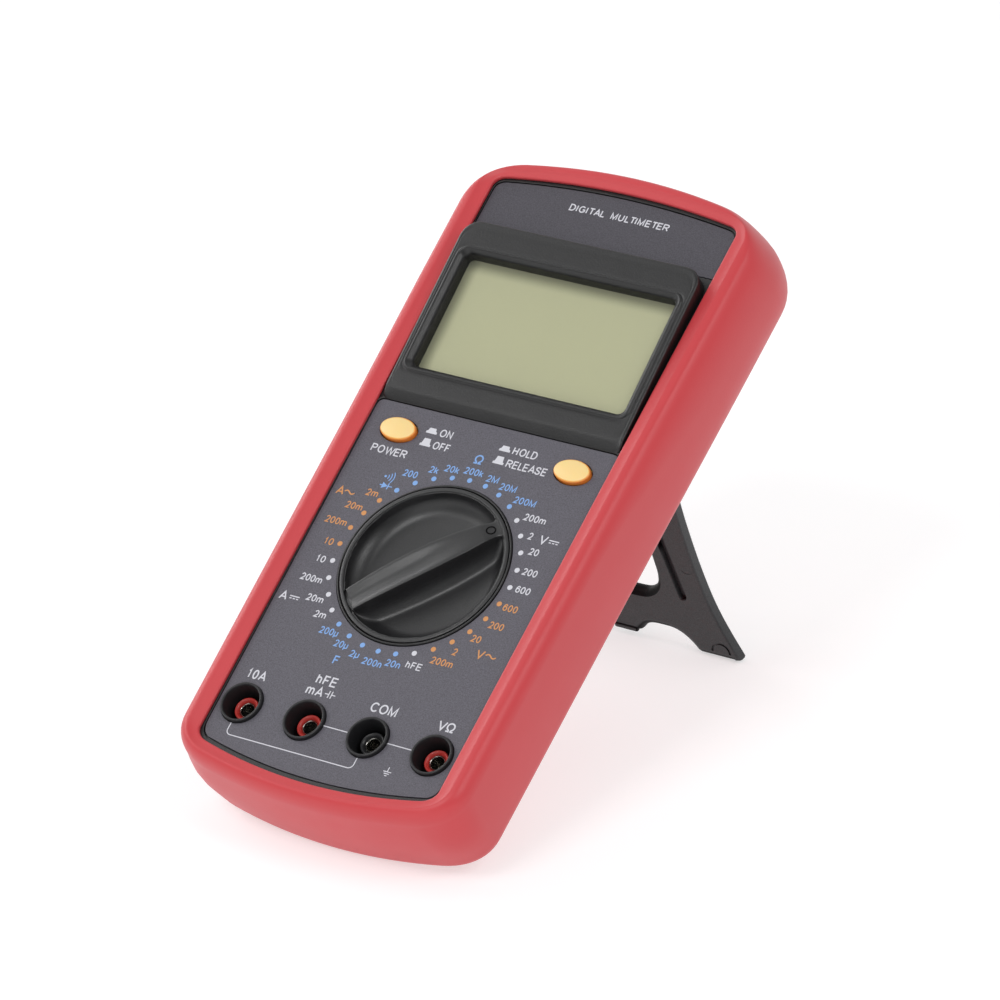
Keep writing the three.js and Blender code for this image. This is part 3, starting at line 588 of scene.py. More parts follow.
def build_holster():
    # floor of the hollow, inner wall up to the front, underside of the lip
    inner = case_outline(HOLSTER, 3.4)
    floor = recess_outline(1.7)
    loops = [at_z(floor, -20.3), at_z(floor, -23.2), at_z(inner, -23.5), at_z(inner, 0.3)]
    # thin inner edge of the lip, (inset, z), then the slope out to a soft ridge
    for inset, z in ((-0.05, 0.3), (0.0, 0.45), (0.0, 0.85), (-0.02, 0.98), (-0.13, 1.18),
                     (-0.34, 1.32)):
        loops.append(at_z(case_outline(LIP, inset), z))
    lip, wall = case_outline(LIP, -0.34), case_outline(HOLSTER)
    loops += [mix_loops(lip, wall, t, z) for t, z in RIDGE]
    loops += holster_sides(lip, wall)
    # flat back, rounded mouth of the hollow, and its floor
    back, mouth = case_outline(HOLSTER, 6.4), recess_outline(1.2)
    loops.append(at_z(back, BACK_Z))
    loops += [mix_loops(back, mouth, t, BACK_Z) for t in (0.25, 0.6, 0.9)]
    loops.append(at_z(recess_outline(0.75), BACK_Z))
    for k in range(1, 5):
        angle = math.radians(90 * k / 4)
        grow = 0.7 * (1 - math.sin(angle))
        loops.append(at_z(recess_outline(grow), BACK_Z + 0.7 * (1 - math.cos(angle))))
    for grow, z in ((0.0, -22.5), (-0.5, -21.95), (-1.0, -21.9)):
        loops.append(at_z(recess_outline(grow), z))
    mesh = bmesh.new()
    add_loops(mesh, loops)
    add_object(mesh, "rubber_holster", "holster_rubber", "holster_rubber", "holster", smooth=40)


build_holster()

# ---------------------------------------------------------------------------
# Front cover
# ---------------------------------------------------------------------------
LABEL_CORNER_STEPS = 10


def lower_label_outline(inset=0.0):
    head_x, foot_x = 36.3 - inset, 35.3 - inset
    head_y, foot_y, edge = 42.1 - inset, -63.3 + inset, -59.9 + inset
    corner = LABEL_CORNER_STEPS
    pieces = (
        ([(-foot_x + 3.5, edge), (0, 2 * foot_y - edge), (foot_x - 3.5, edge)], 36),
        ([(foot_x - 3.5, edge), (foot_x - 0.4, edge + 0.45), (foot_x, edge + 4)], corner),
        ([(foot_x, edge + 4), (head_x, head_y - 2)], 6),
        ([(head_x, head_y - 2), (head_x, head_y), (head_x - 2, head_y)], corner),
        ([(head_x - 2, head_y), (-head_x + 2, head_y)], 6),
        ([(-head_x + 2, head_y), (-head_x, head_y), (-head_x, head_y - 2)], corner),
        ([(-head_x, head_y - 2), (-foot_x, edge + 4)], 6),
        ([(-foot_x, edge + 4), (-foot_x + 0.4, edge + 0.45), (-foot_x + 3.5, edge)], corner),
    )
    return [point for controls, steps in pieces for point in bezier(controls, steps)]


def upper_label_outline(inset=0.0):
    half, foot_y, tip, edge = 36.4 - inset, 96.2 + inset, 113.1 - inset, 110.5 - inset
    shoulder = (half - 3, edge + 0.28)
    corner = [(half, edge - 2.6), (half - 0.1, edge - 0.1), shoulder]
    arch = [shoulder, (0, 2 * tip - edge - 0.28), (-half + 3, edge + 0.28)]
    return ([(-half, foot_y), (half, foot_y)] + bezier(corner, LABEL_CORNER_STEPS)
            + bezier(arch, 36) + bezier(mirrored(corner), LABEL_CORNER_STEPS)
            + [(-half, edge - 2.6)])


def button_holes(radius_x, radius_y):
    return [ellipse(side * BUTTON_X, BUTTON_Y, radius_x, radius_y) for side in BUTTON_SIDES]


def jack_holes(radius, steps):
    return [ellipse(x, JACK_Y, radius, radius, steps) for x in JACKS.values()]


# (radius, z) round the selector: wall of its well and a thin raised ring
DIAL_RING = [(22.76, -5.6), (22.76, 0.22), (22.82, 0.36), (22.96, 0.44), (23.14, 0.42),
             (23.28, 0.30), (23.34, 0.1), (23.36, -0.5), (24.6, -0.7), (24.6, -5.6)]


def build_cover():
    mesh = bmesh.new()
    wall, inner = case_outline(HOLSTER, 3.7), case_outline(HOLSTER, 5.7)
    # border standing round both label pockets
    pockets = [lower_label_outline(-0.25), upper_label_outline(-0.25),
               rounded_rect(33.4, 51.2, 88.2, 1.5, 1.5)]
    add_plate(mesh, wall, pockets, z0=-2.4, z1=0.12, bevel=0.22, bevel_steps=2)
    # floor of the pockets
    holes = [ellipse(0, 0, 22.75, 22.75, 96), rounded_rect(33.2, 51.4, 88.0, 1.5, 1.5)]
    holes += jack_holes(5.0, 48) + button_holes(5.65, 3.7)
    add_plate(mesh, case_outline(HOLSTER, 3.9), holes, z0=-2.3, z1=-0.62, bevel=0.0,
              bevel_steps=0)
    # side wall down to the parting line
    top, parting = -0.6, -12.0
    add_loops(mesh, [at_z(wall, top), at_z(wall, parting), at_z(inner, parting),
                     at_z(inner, top)], ends="ring")
    lathe(mesh, DIAL_RING, 128)
    add_object(mesh, "front_cover_moulding", "cover_plastic", "cover_plastic", "front_cover",
               smooth=38)


build_cover()

# ---------------------------------------------------------------------------
# Display bezel: its face slopes up from a fold near the foot edge to the head
# ---------------------------------------------------------------------------
FOLD_Y, FOLD_Z = 45.3, 1.6
BEZEL_HALF, BEZEL_FOOT_Y = 35.9, 42.25
BEZEL_HEAD_Y, BEZEL_HEAD_Z = 95.6, 4.9
SLOPE = (BEZEL_HEAD_Z - FOLD_Z) / (BEZEL_HEAD_Y - FOLD_Y)
# (inset, height over the face) of the rounded outer edge
BEZEL_EDGE = ((0.0, -0.75), (0.02, -0.5), (0.10, -0.28), (0.28, -0.10), (0.55, -0.02))
# (half width, foot y, head y, head corner, foot corner, height over the face)
BEZEL_FACE = (
    (35.2, 43.2, 94.9, 4.5, 1.8, 0), (34.95, 44.7, 94.2, 4.2, 2.0, -0.03),
    (34.9, 45.3, 93.6, 4.0, 2.2, -0.07), (34.85, 45.9, 93.0, 3.9, 2.4, -0.03),
    (34.8, 46.8, 92.0, 3.8, 2.6, 0), (34.55, 49.4, 89.2, 3.5, 3.0, 0),
)
BEZEL_BOTTOM = ((31.8, 53.0, 86.35, 1.6, 1.6, -5.6), (33.0, 51.8, 87.6, 2.8, 2.6, -5.6))
# (inset, height over the face) of the rim: rounded lip, flank, inner edge
BEZEL_RIM = (
    (-0.45, 0.0), (-0.25, -0.08), (-0.05, -0.10), (0.06, 0.02), (0.20, 0.22), (0.38, 0.36),
    (0.60, 0.40), (0.80, 0.34), (1.05, 0.16), (1.45, -0.20), (1.78, -0.52), (1.94, -0.72),
    (2.06, -0.95), (2.14, -1.2), (2.2, -1.5),
)


def bezel_z(y):
    if y >= FOLD_Y:
        return FOLD_Z + (y - FOLD_Y) * SLOPE
    return FOLD_Z - 1.5 * ((FOLD_Y - y) / 3.1) ** 1.15


def build_bezel():
    def flat(*sizes):
        return rounded_rect(*sizes, side_steps=(26, 16, 26, 16))

    def sloped(*sizes, lift):
        return [(x, y, bezel_z(y) + lift) for x, y in flat(*sizes)]

    loops = [at_z(flat(BEZEL_HALF, BEZEL_FOOT_Y, BEZEL_HEAD_Y, 5.0, 1.6), -0.9)]
    for inset, lift in BEZEL_EDGE:
        loops.append(sloped(BEZEL_HALF - inset, BEZEL_FOOT_Y + inset * 0.4,
                            BEZEL_HEAD_Y - inset, 5.0 - inset * 0.8, 1.6, lift=lift))
    loops += [sloped(*sizes, lift=lift) for *sizes, lift in BEZEL_FACE]
    for inset, lift in BEZEL_RIM:
        corner = 3.0 - inset * 0.55
        loops.append(sloped(34.15 - inset, 50.55 + inset, 88.0 - inset * 0.72, corner, corner,
                            lift=lift))
    loops += [sloped(*sizes, lift=lift) for *sizes, lift in BEZEL_BOTTOM]
    loops.append(at_z(flat(34.5, 49.6, 89.2, 3.5, 3.0), -1.0))
    mesh = bmesh.new()
    add_loops(mesh, loops, ends="ring")
    add_object(mesh, "display_bezel", "cover_plastic", "cover_plastic", smooth=50)


build_bezel()

# ---------------------------------------------------------------------------
# Jacks: (radius, z) profiles turned about each jack's centre
# ---------------------------------------------------------------------------
COLLAR = [(5.64, -0.6)] + arc(5.36, 0.72, 0.26, 0.26, 0, 90, 3) + [
    (5.12, 0.98), (5.0, 0.92), (4.92, 0.78), (4.84, 0.5), (4.66, -0.4), (4.42, -3.0),
    (4.30, -8.6), (3.6, -9.3), (2.55, -9.5), (2.55, -9.9), (5.62, -9.9)]
TUBE = [(2.55, -9.3), (3.25, -9.3), (3.25, -3.0), (3.18, -2.78), (3.0, -2.68), (2.78, -2.74),
        (2.5, -2.98), (2.26, -3.3), (2.16, -3.55), (2.14, -9.3)]
SOCKET = [(0, -18.0), (2.12, -18.0), (2.12, -3.75), (2.06, -3.5), (1.94, -3.42), (1.82, -3.5),
          (1.74, -3.75), (1.72, -16.6), (0, -16.6)]


def build_jack(name, x):
    color = "black" if name == "com" else "red"
    for part, profile, steps, material, slot, replaces in (
        ("collar", COLLAR, 80, "jack_plastic", "cover_plastic", None),
        ("tube", TUBE, 64, color + "_insulator", color + "_insulation",
         "socket_insulator_" + name),
        ("socket", SOCKET, 64, "nickel_plate", "brass", "input_socket_" + name),
    ):
        mesh = bmesh.new()
        lathe(mesh, profile, steps, x, JACK_Y)
        add_object(mesh, "jack_" + part + "_" + name, material, slot, replaces, smooth=45)


for jack, jack_x in JACKS.items():
    build_jack(jack, jack_x)

# ---------------------------------------------------------------------------
# Labels
# ---------------------------------------------------------------------------


def build_label(name, outline, holes, material, replaces):
    mesh = bmesh.new()
    add_plate(mesh, outline, holes, z0=-0.5, z1=0.0, bevel=0.08, bevel_steps=1)
    add_object(mesh, name, material, "face_label", replaces)


build_label("lower_label_film", lower_label_outline(),
            [ellipse(0, 0, 23.5, 23.5, 128)] + jack_holes(5.78, 64) + button_holes(5.575, 3.625),
            "face_label_film", "lower_label")
# the upper label takes the darker copy of the film, which is painted shade
build_label("upper_label_film", upper_label_outline(), [], "face_label_film_top_painted_shade", "upper_label")

# ---------------------------------------------------------------------------
# Display, built flat and tilted to the bezel's slope; z is measured from the bezel's face
# ---------------------------------------------------------------------------
DISPLAY_Y = 69.7
TILT = (Matrix.Translation((0, DISPLAY_Y, bezel_z(DISPLAY_Y)))
        @ Matrix.Rotation(math.atan(SLOPE), 4, "X") @ Matrix.Translation((0, -DISPLAY_Y, 0)))


def build_window():
    mesh = bmesh.new()
    add_plate(mesh, rounded_rect(32.2, 52.6, 86.75, 1.9, 1.9), [], z0=-2.5, z1=-1.75,
              bevel=0.05, bevel_steps=1)
    add_object(mesh, "display_window", "clear_window", "clear_window", "lcd_window", matrix=TILT)


def build_panel():
    """Two stacked plates."""
    mesh = bmesh.new()
    add_plate(mesh, rounded_rect(31.78, 53.02, 86.33, 1.5, 1.5), [], z0=-4.6, z1=-3.95,
              bevel=0.04, bevel_steps=1)
    add_plate(mesh, rounded_rect(31.7, 53.1, 84.4, 0.4, 0.4), [], z0=-5.5, z1=-4.65,
              bevel=0.04, bevel_steps=1)
    add_object(mesh, "display_panel", "display_polariser", "display_glass", "lcd_glass",
               matrix=TILT)


build_window()
build_panel()

# ---------------------------------------------------------------------------
# Push buttons
# ---------------------------------------------------------------------------
BUTTON_HALF_X, BUTTON_HALF_Y = 10.5 / 2, 6.6 / 2
BUTTON_ROUND = 0.62  # radius of the top edge, which starts at the same height
BUTTON_CROWN = 0.30
BUTTON_STEM = [(0, -8.0), (1.2, -8.0), (1.5, -7.7), (1.5, -4.5), (0, -4.5)]  # (radius, z)


def build_button(key, side):
    x, radius = side * BUTTON_X, BUTTON_ROUND

    def ring(inset, z, scale=1.0):
        return at_z(ellipse(x, BUTTON_Y, (BUTTON_HALF_X - inset) * scale,
                            (BUTTON_HALF_Y - inset) * scale, 72), z)

    loops = [ring(0.0, -3.3), ring(0.0, radius)]
    for k in range(1, 7):
        angle = math.radians(90 * k / 6)
        loops.append(ring(radius * (1 - math.cos(angle)), radius + radius * math.sin(angle)))
    # crowned top, ellipses shrinking to the middle
    for k in range(1, 8):
        scale = 1 - k / 8
        loops.append(ring(radius, 2 * radius + BUTTON_CROWN * (1 - scale * scale), scale))
    mesh = bmesh.new()
    add_loops(mesh, loops)
    add_plate(mesh, ellipse(x, BUTTON_Y, 6.3, 4.35), [], z0=-4.7, z1=-2.8, bevel=0.2,
              bevel_steps=1)
    lathe(mesh, BUTTON_STEM, 32, x, BUTTON_Y)
    add_object(mesh, key + "_cap", "button_plastic", "button_plastic", key + "_button",
               body=key + "_key", smooth=50)


for key_name, key_side in zip(("power", "hold"), BUTTON_SIDES):
    build_button(key_name, key_side)

# ---------------------------------------------------------------------------
# Rotary selector, in its own frame: +y is the pointer
# ---------------------------------------------------------------------------
KNOB_TURN = Matrix.Rotation(math.radians(-45.0), 4, "Z")
KNOB_RADIUS = 21.5
TAIL_Y, GAP_Z = -20.42, 0.1  # tail of the grip bar, and the height of the gap behind it
WELL_STEPS, BAR_STEPS = 40, 14  # across each finger well and across the bar
# y stations along the grip bar and its half width at each
BAR_Y = [-21.5, -20.4, -12, -4, 4, 12, 17, 19.6, 20.3, 20.8, 21.2, 21.5]
BAR_HALF = [3.3, 3.3, 3.75, 4.0, 3.95, 3.45, 2.75, 2.3, 2.4, 2.75, 3.3, 4.0]
# (radius, z) of the rim and skirt
KNOB_RIM = [(21.2, -5.9), (22.3, -5.9), (22.52, -0.6), (22.54, 0.28), (22.48, 0.42),
            (22.36, 0.50), (22.1, 0.54), (21.75, 0.56), (21.55, 0.52), (21.42, 0.40),
            (21.36, 0.2), (21.3, -1.0)]


def bar_half(y):
    return float(np.interp(y, BAR_Y, BAR_HALF))


def bar_top(x, y):
    """Bar's upper surface: arched along y, easing down at the pointer, hollowed at the tail."""
    z = 1.0 + 1.35 * (1 - min(1.0, abs(y) / 21.0) ** 2)
    if y > 16.5:
        z = z + (0.60 - z) * smoothstep((y - 16.5) / 4.6)
    dip = 0.95 * smoothstep((15 - y) / 18.0)
    across = min(1.0, abs(x) / (bar_half(y) * 0.9))
    return z - dip * (1 - across * across) ** 1.5


def well_height(x, y):
    """Finger well at +x: fillets from the rim and the bar to a floor that rises to the rim."""
    def fillet(distance, run, height):
        t = min(1.0, max(0.0, 1.0 - distance / run))
        return height * (1.0 - math.sqrt(max(0.0, 1.0 - t * t)))

    radius, half = math.hypot(x, y), bar_half(y)
    floor = -4.55 + 0.75 * (radius / KNOB_RADIUS) ** 3
    rim = fillet(21.05 - radius, 4.3, 0.2 - floor)
    bar = fillet(x - half - 0.1, 3.3, bar_top(half, y) - floor)
    blend = 1.1
    both = blend * math.log(math.exp(rim / blend) + math.exp(bar / blend) - 1.0)
    return min(floor + both, max(0.22, bar_top(half, y) - 0.1))


def knob_row(y):
    """Section at y from -x to +x: well, bar, well, or one span where there is no room."""
    chord = math.sqrt(max(0.0, KNOB_RADIUS ** 2 - y * y))
    half = bar_half(y)
    on_bar = y > TAIL_Y

    def top(x):
        return bar_top(x, y) if on_bar else GAP_Z

    if chord <= half + 1.1:
        last = 2 * (WELL_STEPS + 2) + BAR_STEPS
        spread = [-chord + 2 * chord * i / last for i in range(last + 1)]
        return [(x, y, top(x)) for x in spread]
    well = [(chord, 0.25)]
    outer, inner = chord - 0.25, half + 0.14
    for i in range(WELL_STEPS):
        t = i / (WELL_STEPS - 1)
        eased = 0.5 - 0.5 * math.cos(math.pi * t)
        x = outer + (inner - outer) * (0.45 * eased + 0.55 * t)
        well.append((x, well_height(x, y)))
    well.append((half + 0.05, top(half) - 0.25))
    row = [(-x, y, z) for x, z in well]
    for i in range(BAR_STEPS + 1):
        x = -half + 2 * half * i / BAR_STEPS
        edge_drop = 0.10 if on_bar and i in (0, BAR_STEPS) else 0.0
        row.append((x, y, top(x) - edge_drop))
    return row + [(x, y, z) for x, z in reversed(well)]


def build_knob():
    mesh = bmesh.new()
    # rows crowd together at the bar's tail
    stations = list(-KNOB_RADIUS + (KNOB_RADIUS - 20.45) * np.linspace(0, 1, 5)[:-1])
    stations += [-20.45, -20.38]
    stations += list(np.linspace(-20.2, 20.2, 92)) + list(np.linspace(20.4, KNOB_RADIUS, 7))
    stations = sorted(set(round(float(y), 5) for y in stations))
    rows = [[mesh.verts.new(point) for point in knob_row(y)] for y in stations]
    for first, second in zip(rows[:-1], rows[1:]):
        for i in range(len(first) - 1):
            mesh.faces.new((first[i], first[i + 1], second[i + 1], second[i]))
    # close the underside
    edge = [row[0] for row in rows] + rows[-1][1:-1]
    edge += [row[-1] for row in reversed(rows)] + list(reversed(rows[0][1:-1]))
    low = [mesh.verts.new((vert.co.x, vert.co.y, -5.7)) for vert in edge]
    for i in range(len(edge)):
        j = (i + 1) % len(edge)
        mesh.faces.new((edge[i], low[i], low[j], edge[j]))
    mesh.faces.new(low)
    lathe(mesh, KNOB_RIM, 128)
    add_object(mesh, "selector_knob", "knob_plastic", "knob_plastic", "rotary_knob",
               body="selector", matrix=KNOB_TURN, smooth=46, weld=2e-4)


def build_pointer_mark():
    """Small near-black, dull ring lying on the pointer end of the bar: painted shade of the
    engraved pointer groove.
    """
    loops = []
    for degrees in range(0, 360, 45):
        angle = math.radians(degrees)
        radius = 1.10 + 0.19 * math.cos(angle)
        lift = 0.08 * math.sin(angle)
        loops.append([(x, y, bar_top(x, y) + 0.04 + lift)
                      for x, y in ellipse(0, 18.9, radius, radius, 48)])
    mesh = bmesh.new()
    add_loops(mesh, loops, ends="ring")
    add_object(mesh, "pointer_mark", "pointer_groove_painted_shade", "knob_plastic", body="selector",
               matrix=KNOB_TURN, smooth=60)


build_knob()
build_pointer_mark()

# ---------------------------------------------------------------------------
# Tilt stand, built flat (x across, y away from the hinge, z through), then opened
# ---------------------------------------------------------------------------
STAND_JOINT = JOINTS["stand_fold"]
STAND_OPEN = math.radians(float(STAND_JOINT["range_deg"][1]))
STAND_PLACE = (Matrix.Translation(TO_WORLD.inverted() @ Vector(STAND_JOINT["pos_m"]))
               @ Matrix.Rotation(STAND_OPEN, 4, "X") @ Matrix.Rotation(math.pi, 4, "X"))
STAND_WORLD = TO_WORLD @ STAND_PLACE
# y at which the stand's middle plane meets the floor, world z = 0
SOLE_Y = -STAND_WORLD[2][3] / STAND_WORLD[2][1]
STAND_HALF = 1.72  # half the thickness
# (y, x) stations of the +x side, before smoothing
STAND_SIDE = [(-1.2, 16.2), (14, 16.8), (28, 18.2), (42.9, 20.4), (57.2, 23.8), (69.4, 27.6),
              (78.6, 32.4), (82.6, 34.9)]
# Control points of the middle opening, clockwise
OPENING = [(0, 26.0), (-2.8, 29.0), (-7.2, 46.0), (-10.2, 58.4), (-11.2, 62.6), (-10.9, 66.1),
           (-8.3, 68.2), (-5.0, 68.5), (5.0, 68.5), (8.3, 68.2), (10.9, 66.1), (11.2, 62.6),
           (10.2, 58.4), (7.4, 46.0), (2.8, 29.0)]
# (inset of the opening, z) through the plate, flared at both faces
OPENING_WALL = (
    (-2.3, -STAND_HALF - 0.5), (-1.8, -STAND_HALF + 0.02), (-1.3, -STAND_HALF + 0.35),
    (-0.8, -STAND_HALF + 0.8), (-0.35, -STAND_HALF + 1.35), (-0.08, -STAND_HALF + 1.9),
    (0.0, -STAND_HALF + 2.3), (0.0, STAND_HALF - 0.6), (-0.15, STAND_HALF - 0.2),
    (-0.7, STAND_HALF + 0.4),
)


def resample(points, spacing):
    """Divide the edges of a closed loop to about the given spacing."""
    points = np.array(points + points[:1], float)
    lengths = np.hypot(*np.diff(points, axis=0).T)
    dense = []
    for a, b, length in zip(points[:-1], points[1:], lengths):
        steps = max(1, int(round(length / spacing)))
        dense += [tuple(a + (b - a) * i / steps) for i in range(steps)]
    return dense


def cut_corners(points, passes):
    """Chaikin smoothing of a closed loop."""
    for _ in range(passes):
        smoother = []
        for a, b in zip(points, points[1:] + points[:1]):
            a, b = np.array(a), np.array(b)
            smoother += [tuple(a * 0.75 + b * 0.25), tuple(a * 0.25 + b * 0.75)]
        points = smoother
    return points


def left_normals(edges):
    return np.c_[-edges[:, 1], edges[:, 0]] / np.maximum(1e-9, np.hypot(*edges.T))[:, None]


def offset_loop(points, inset):
    """Move a closed loop inwards; inset is one value or one for each point."""
    points = np.array(points, float)
    before = left_normals(points - np.roll(points, 1, 0))
    after = left_normals(np.roll(points, -1, 0) - points)
    middle = before + after
    middle = middle / np.maximum(0.5, np.hypot(*middle.T))[:, None]
    stretch = 1.0 / np.maximum(0.6, (middle * before).sum(1))
    return [tuple(v) for v in points + middle * (np.asarray(inset) * stretch)[:, None]]


def outward_y(points):
    """y part of the outward normal at each point of a closed loop."""
    points = np.array(points, float)
    along = np.roll(points, -1, 0) - np.roll(points, 1, 0)
    return -along[:, 0] / np.maximum(1e-9, np.hypot(*along.T))


def stand_outline():
    """Splayed leg with two feet on the floor and a tab between them."""
    stations, widths = zip(*STAND_SIDE)
    side = np.array([(float(np.interp(y, stations, widths)), float(y))
                     for y in np.linspace(stations[0], stations[-1], 80)])
    for _ in range(30):
        smoother = side.copy()
        smoother[1:-1, 0] = 0.25 * side[:-2, 0] + 0.5 * side[1:-1, 0] + 0.25 * side[2:, 0]
        side = smoother
    half = [tuple(point) for point in side]
    half += [(35.05, SOLE_Y - 1.1), (34.85, SOLE_Y - 0.55), (34.4, SOLE_Y - 0.15),
             (33.8, SOLE_Y), (23.0, SOLE_Y)]
    # arch between foot and tab
    start_x, end_x, crown = 21.8, 4.6, 78.7
    for i in range(29):
        t = i / 28
        end_y, power = (SOLE_Y - 0.5, 2.1) if t < 0.5 else (SOLE_Y - 2.6, 4.5)
        y = crown + (end_y - crown) * (abs(2 * t - 1) ** power)
        half.append((start_x + (end_x - start_x) * t, y))
    half += [(4.1, SOLE_Y - 2.1), (3.4, SOLE_Y - 1.9)]
    return half + mirrored(half)


def loops_object(name, loops):
    """Temporary solid in millimetres for the boolean."""
    mesh = bmesh.new()
    add_loops(mesh, loops)
    bmesh.ops.remove_doubles(mesh, verts=mesh.verts, dist=1e-4)
    bmesh.ops.recalc_face_normals(mesh, faces=mesh.faces)
    data = bpy.data.meshes.new(name)
    mesh.to_mesh(data)
    mesh.free()
    made = bpy.data.objects.new(name, data)
    bpy.context.scene.collection.objects.link(made)
    return made


def stand_plate():
    """Small rounding on the +z face; on the -z face a fillet that is broad along the foot."""
    outer = resample(stand_outline(), spacing=1.0)
    footward = np.clip((outward_y(outer) - 0.15) / 0.45, 0, 1)
    for _ in range(3):
        footward = (0.25 * np.roll(footward, 1) + 0.5 * footward
                    + 0.25 * np.roll(footward, -1))
    loops = [at_z(offset_loop(outer, inset), STAND_HALF - depth)
             for inset, depth in ((0.55, 0.16), (0.25, 0.22), (0.07, 0.40), (0.0, 0.66))]
    for k in range(7):
        angle = math.radians(15 * k)
        inset = (0.5 + 1.8 * footward) * (1 - math.cos(angle))
        rise = (0.5 + 2.1 * footward) * (1 - math.sin(angle))
        loops.append([(x, y, -STAND_HALF + float(lift))
                      for (x, y), lift in zip(offset_loop(outer, inset), rise)])
    return loops_object("stand_plate", loops)


def groove_cutter(side):
    """Long groove with round ends, running outwards towards the foot."""
    start, end, half = np.array((14.0, 50.5)), np.array((19.3, 67.0)), 1.0
    way = (end - start) / np.hypot(*(end - start))
    angle = math.degrees(math.atan2(way[1], way[0]))
    outline = arc(end[0], end[1], half, half, angle - 90, angle + 90, 8)
    outline += arc(start[0], start[1], half, half, angle + 90, angle + 270, 8)
    if side < 0:
        outline = mirrored(outline)
    wide = offset_loop(outline, -0.3)
    mouth = -STAND_HALF - 0.3
    return loops_object("cutter", [at_z(wide, mouth), at_z(wide, mouth + 0.3),
                                   at_z(outline, mouth + 0.75), at_z(outline, -0.3)])


def arc_cutter(x, y, radius, width, depth, start, end):
    """Curved groove in the -z face."""
    outer, inner = radius + width / 2, radius - width / 2
    outline = arc(x, y, outer, outer, start, end, 28) + arc(x, y, inner, inner, end, start, 28)
    return loops_object("cutter", [at_z(outline, -STAND_HALF - 0.2),
                                   at_z(outline, -STAND_HALF + depth)])


def subtract(base, cutters):
    """Cut and return a bmesh; the objects are removed."""
    for cutter in cutters:
        modifier = base.modifiers.new("cut", "BOOLEAN")
        modifier.operation = "DIFFERENCE"
        modifier.solver = "EXACT"
        modifier.object = cutter
    data = evaluated_mesh(base)
    mesh = bmesh.new()
    mesh.from_mesh(data)
    bpy.data.meshes.remove(data)
    for used in [base] + cutters:
        bpy.data.objects.remove(used)
    return mesh


def add_rod(mesh, stations, steps, y=0.0, z=0.0):
    """Round bar along x through (x, radius) stations."""
    add_loops(mesh, [[(x, *point) for point in ellipse(y, z, radius, radius, steps)]
                     for x, radius in stations])


def build_stand():
    base = stand_plate()
    opening = cut_corners(OPENING, 3)[::-1]
    cutters = [loops_object("cutter", [at_z(offset_loop(opening, inset), z)
                                       for inset, z in OPENING_WALL])]
    for side, start, end in ((-1, 40, 180), (1, 0, 140)):
        cutters.append(groove_cutter(side))
        # faint curved line, then a half ring near the foot
        cutters.append(arc_cutter(side * 21.6, 57.2, radius=2.3, width=0.16, depth=0.10,
                                  start=start, end=end))
        cutters.append(arc_cutter(side * 29.6, 81.8, radius=2.7, width=0.62, depth=0.38,
                                  start=180, end=360))
    mesh = subtract(base, cutters)
    # hinge barrel
    add_rod(mesh, [(-18.6, 1.0), (-18.6, 1.45), (-18.45, 1.6), (18.45, 1.6), (18.6, 1.45),
                   (18.6, 1.0)], 40)
    # small curl at the end of the middle tab
    curl = [(x, 0.9 * scale) for x, scale in ((-3.5, 0.7), (-3.3, 0.95), (-3.0, 1.0),
                                              (3.0, 1.0), (3.3, 0.95), (3.5, 0.7))]
    add_rod(mesh, curl, 16, y=SOLE_Y - 2.6, z=-STAND_HALF + 0.80)
    add_object(mesh, "tilt_stand", "stand_plastic", "stand_plastic", "stand",
               body="tilt_stand", matrix=STAND_PLACE, smooth=40)


def paint_shade_in_hollows(material):
    """Painted shade: darker colour and weaker gloss on faces towards the foot and on the walls of
    the opening.
    """
    shader = Shader(material.node_tree)
    bsdf = material.node_tree.nodes["Principled BSDF"]
    across, away, through = (STAND_WORLD.col[i].to_3d().normalized() for i in range(3))
    normal = shader.coords["Normal"]
    foot = shader.smooth_range(shader.dot(normal, away), start=0.12, end=0.5)
    flat = shader.math("ABSOLUTE", shader.dot(normal, through))
    wall = shader.smooth_range(flat, start=0.80, end=0.98, low=1.0, high=0.0)
    offset = shader.offset_from(STAND_WORLD.translation)
    distance = shader.math("ABSOLUTE", shader.dot(offset, across * 1000.0))
    near = shader.smooth_range(distance, start=13.6, end=14.4, low=1.0, high=0.0)
    # painted shade: faces towards the foot, and the opening's walls near the middle
    painted_shade_mask = shader.math("MAXIMUM", foot, shader.math("MULTIPLY", wall, near))
    plain = bsdf.inputs["Base Color"].links[0].from_socket
    shader.feed(bsdf, "Base Color", shader.mix(painted_shade_mask, plain, srgb(15, 15, 16)))
    shader.feed(bsdf, "Specular IOR Level",
                shader.smooth_range(painted_shade_mask, start=0.0, end=1.0, low=0.5, high=0.08))


build_stand()
# paint shade onto the stand's foot-facing faces and opening walls
paint_shade_in_hollows(MATERIALS["stand_plastic"])

# ---------------------------------------------------------------------------
# Printing on the labels: thin slabs, one mesh for each colour
# ---------------------------------------------------------------------------
PRINT = {color: bmesh.new() for color in ("white", "blue", "orange")}
INK_BASE, INK_TOP = -0.02, 0.025
# Successive strokes end at different heights, so that crossing strokes share no surface
STROKE_TOPS = itertools.cycle([INK_TOP + 0.0012 * (k % 7) for k in range(1, 8)])

SHOULDER = arc(0.5, 0.44, 0.5, 0.28, 180, 0, 12)
BOWL = [(0, 0), (0, 1), (0.58, 1)] + arc(0.58, 0.745, 0.42, 0.255, 90, -90, 12)[1:] + [(0, 0.49)]
ROUND = arc(0.5, 0.5, 0.5, 0.5, 0, 360, 36)[:-1]
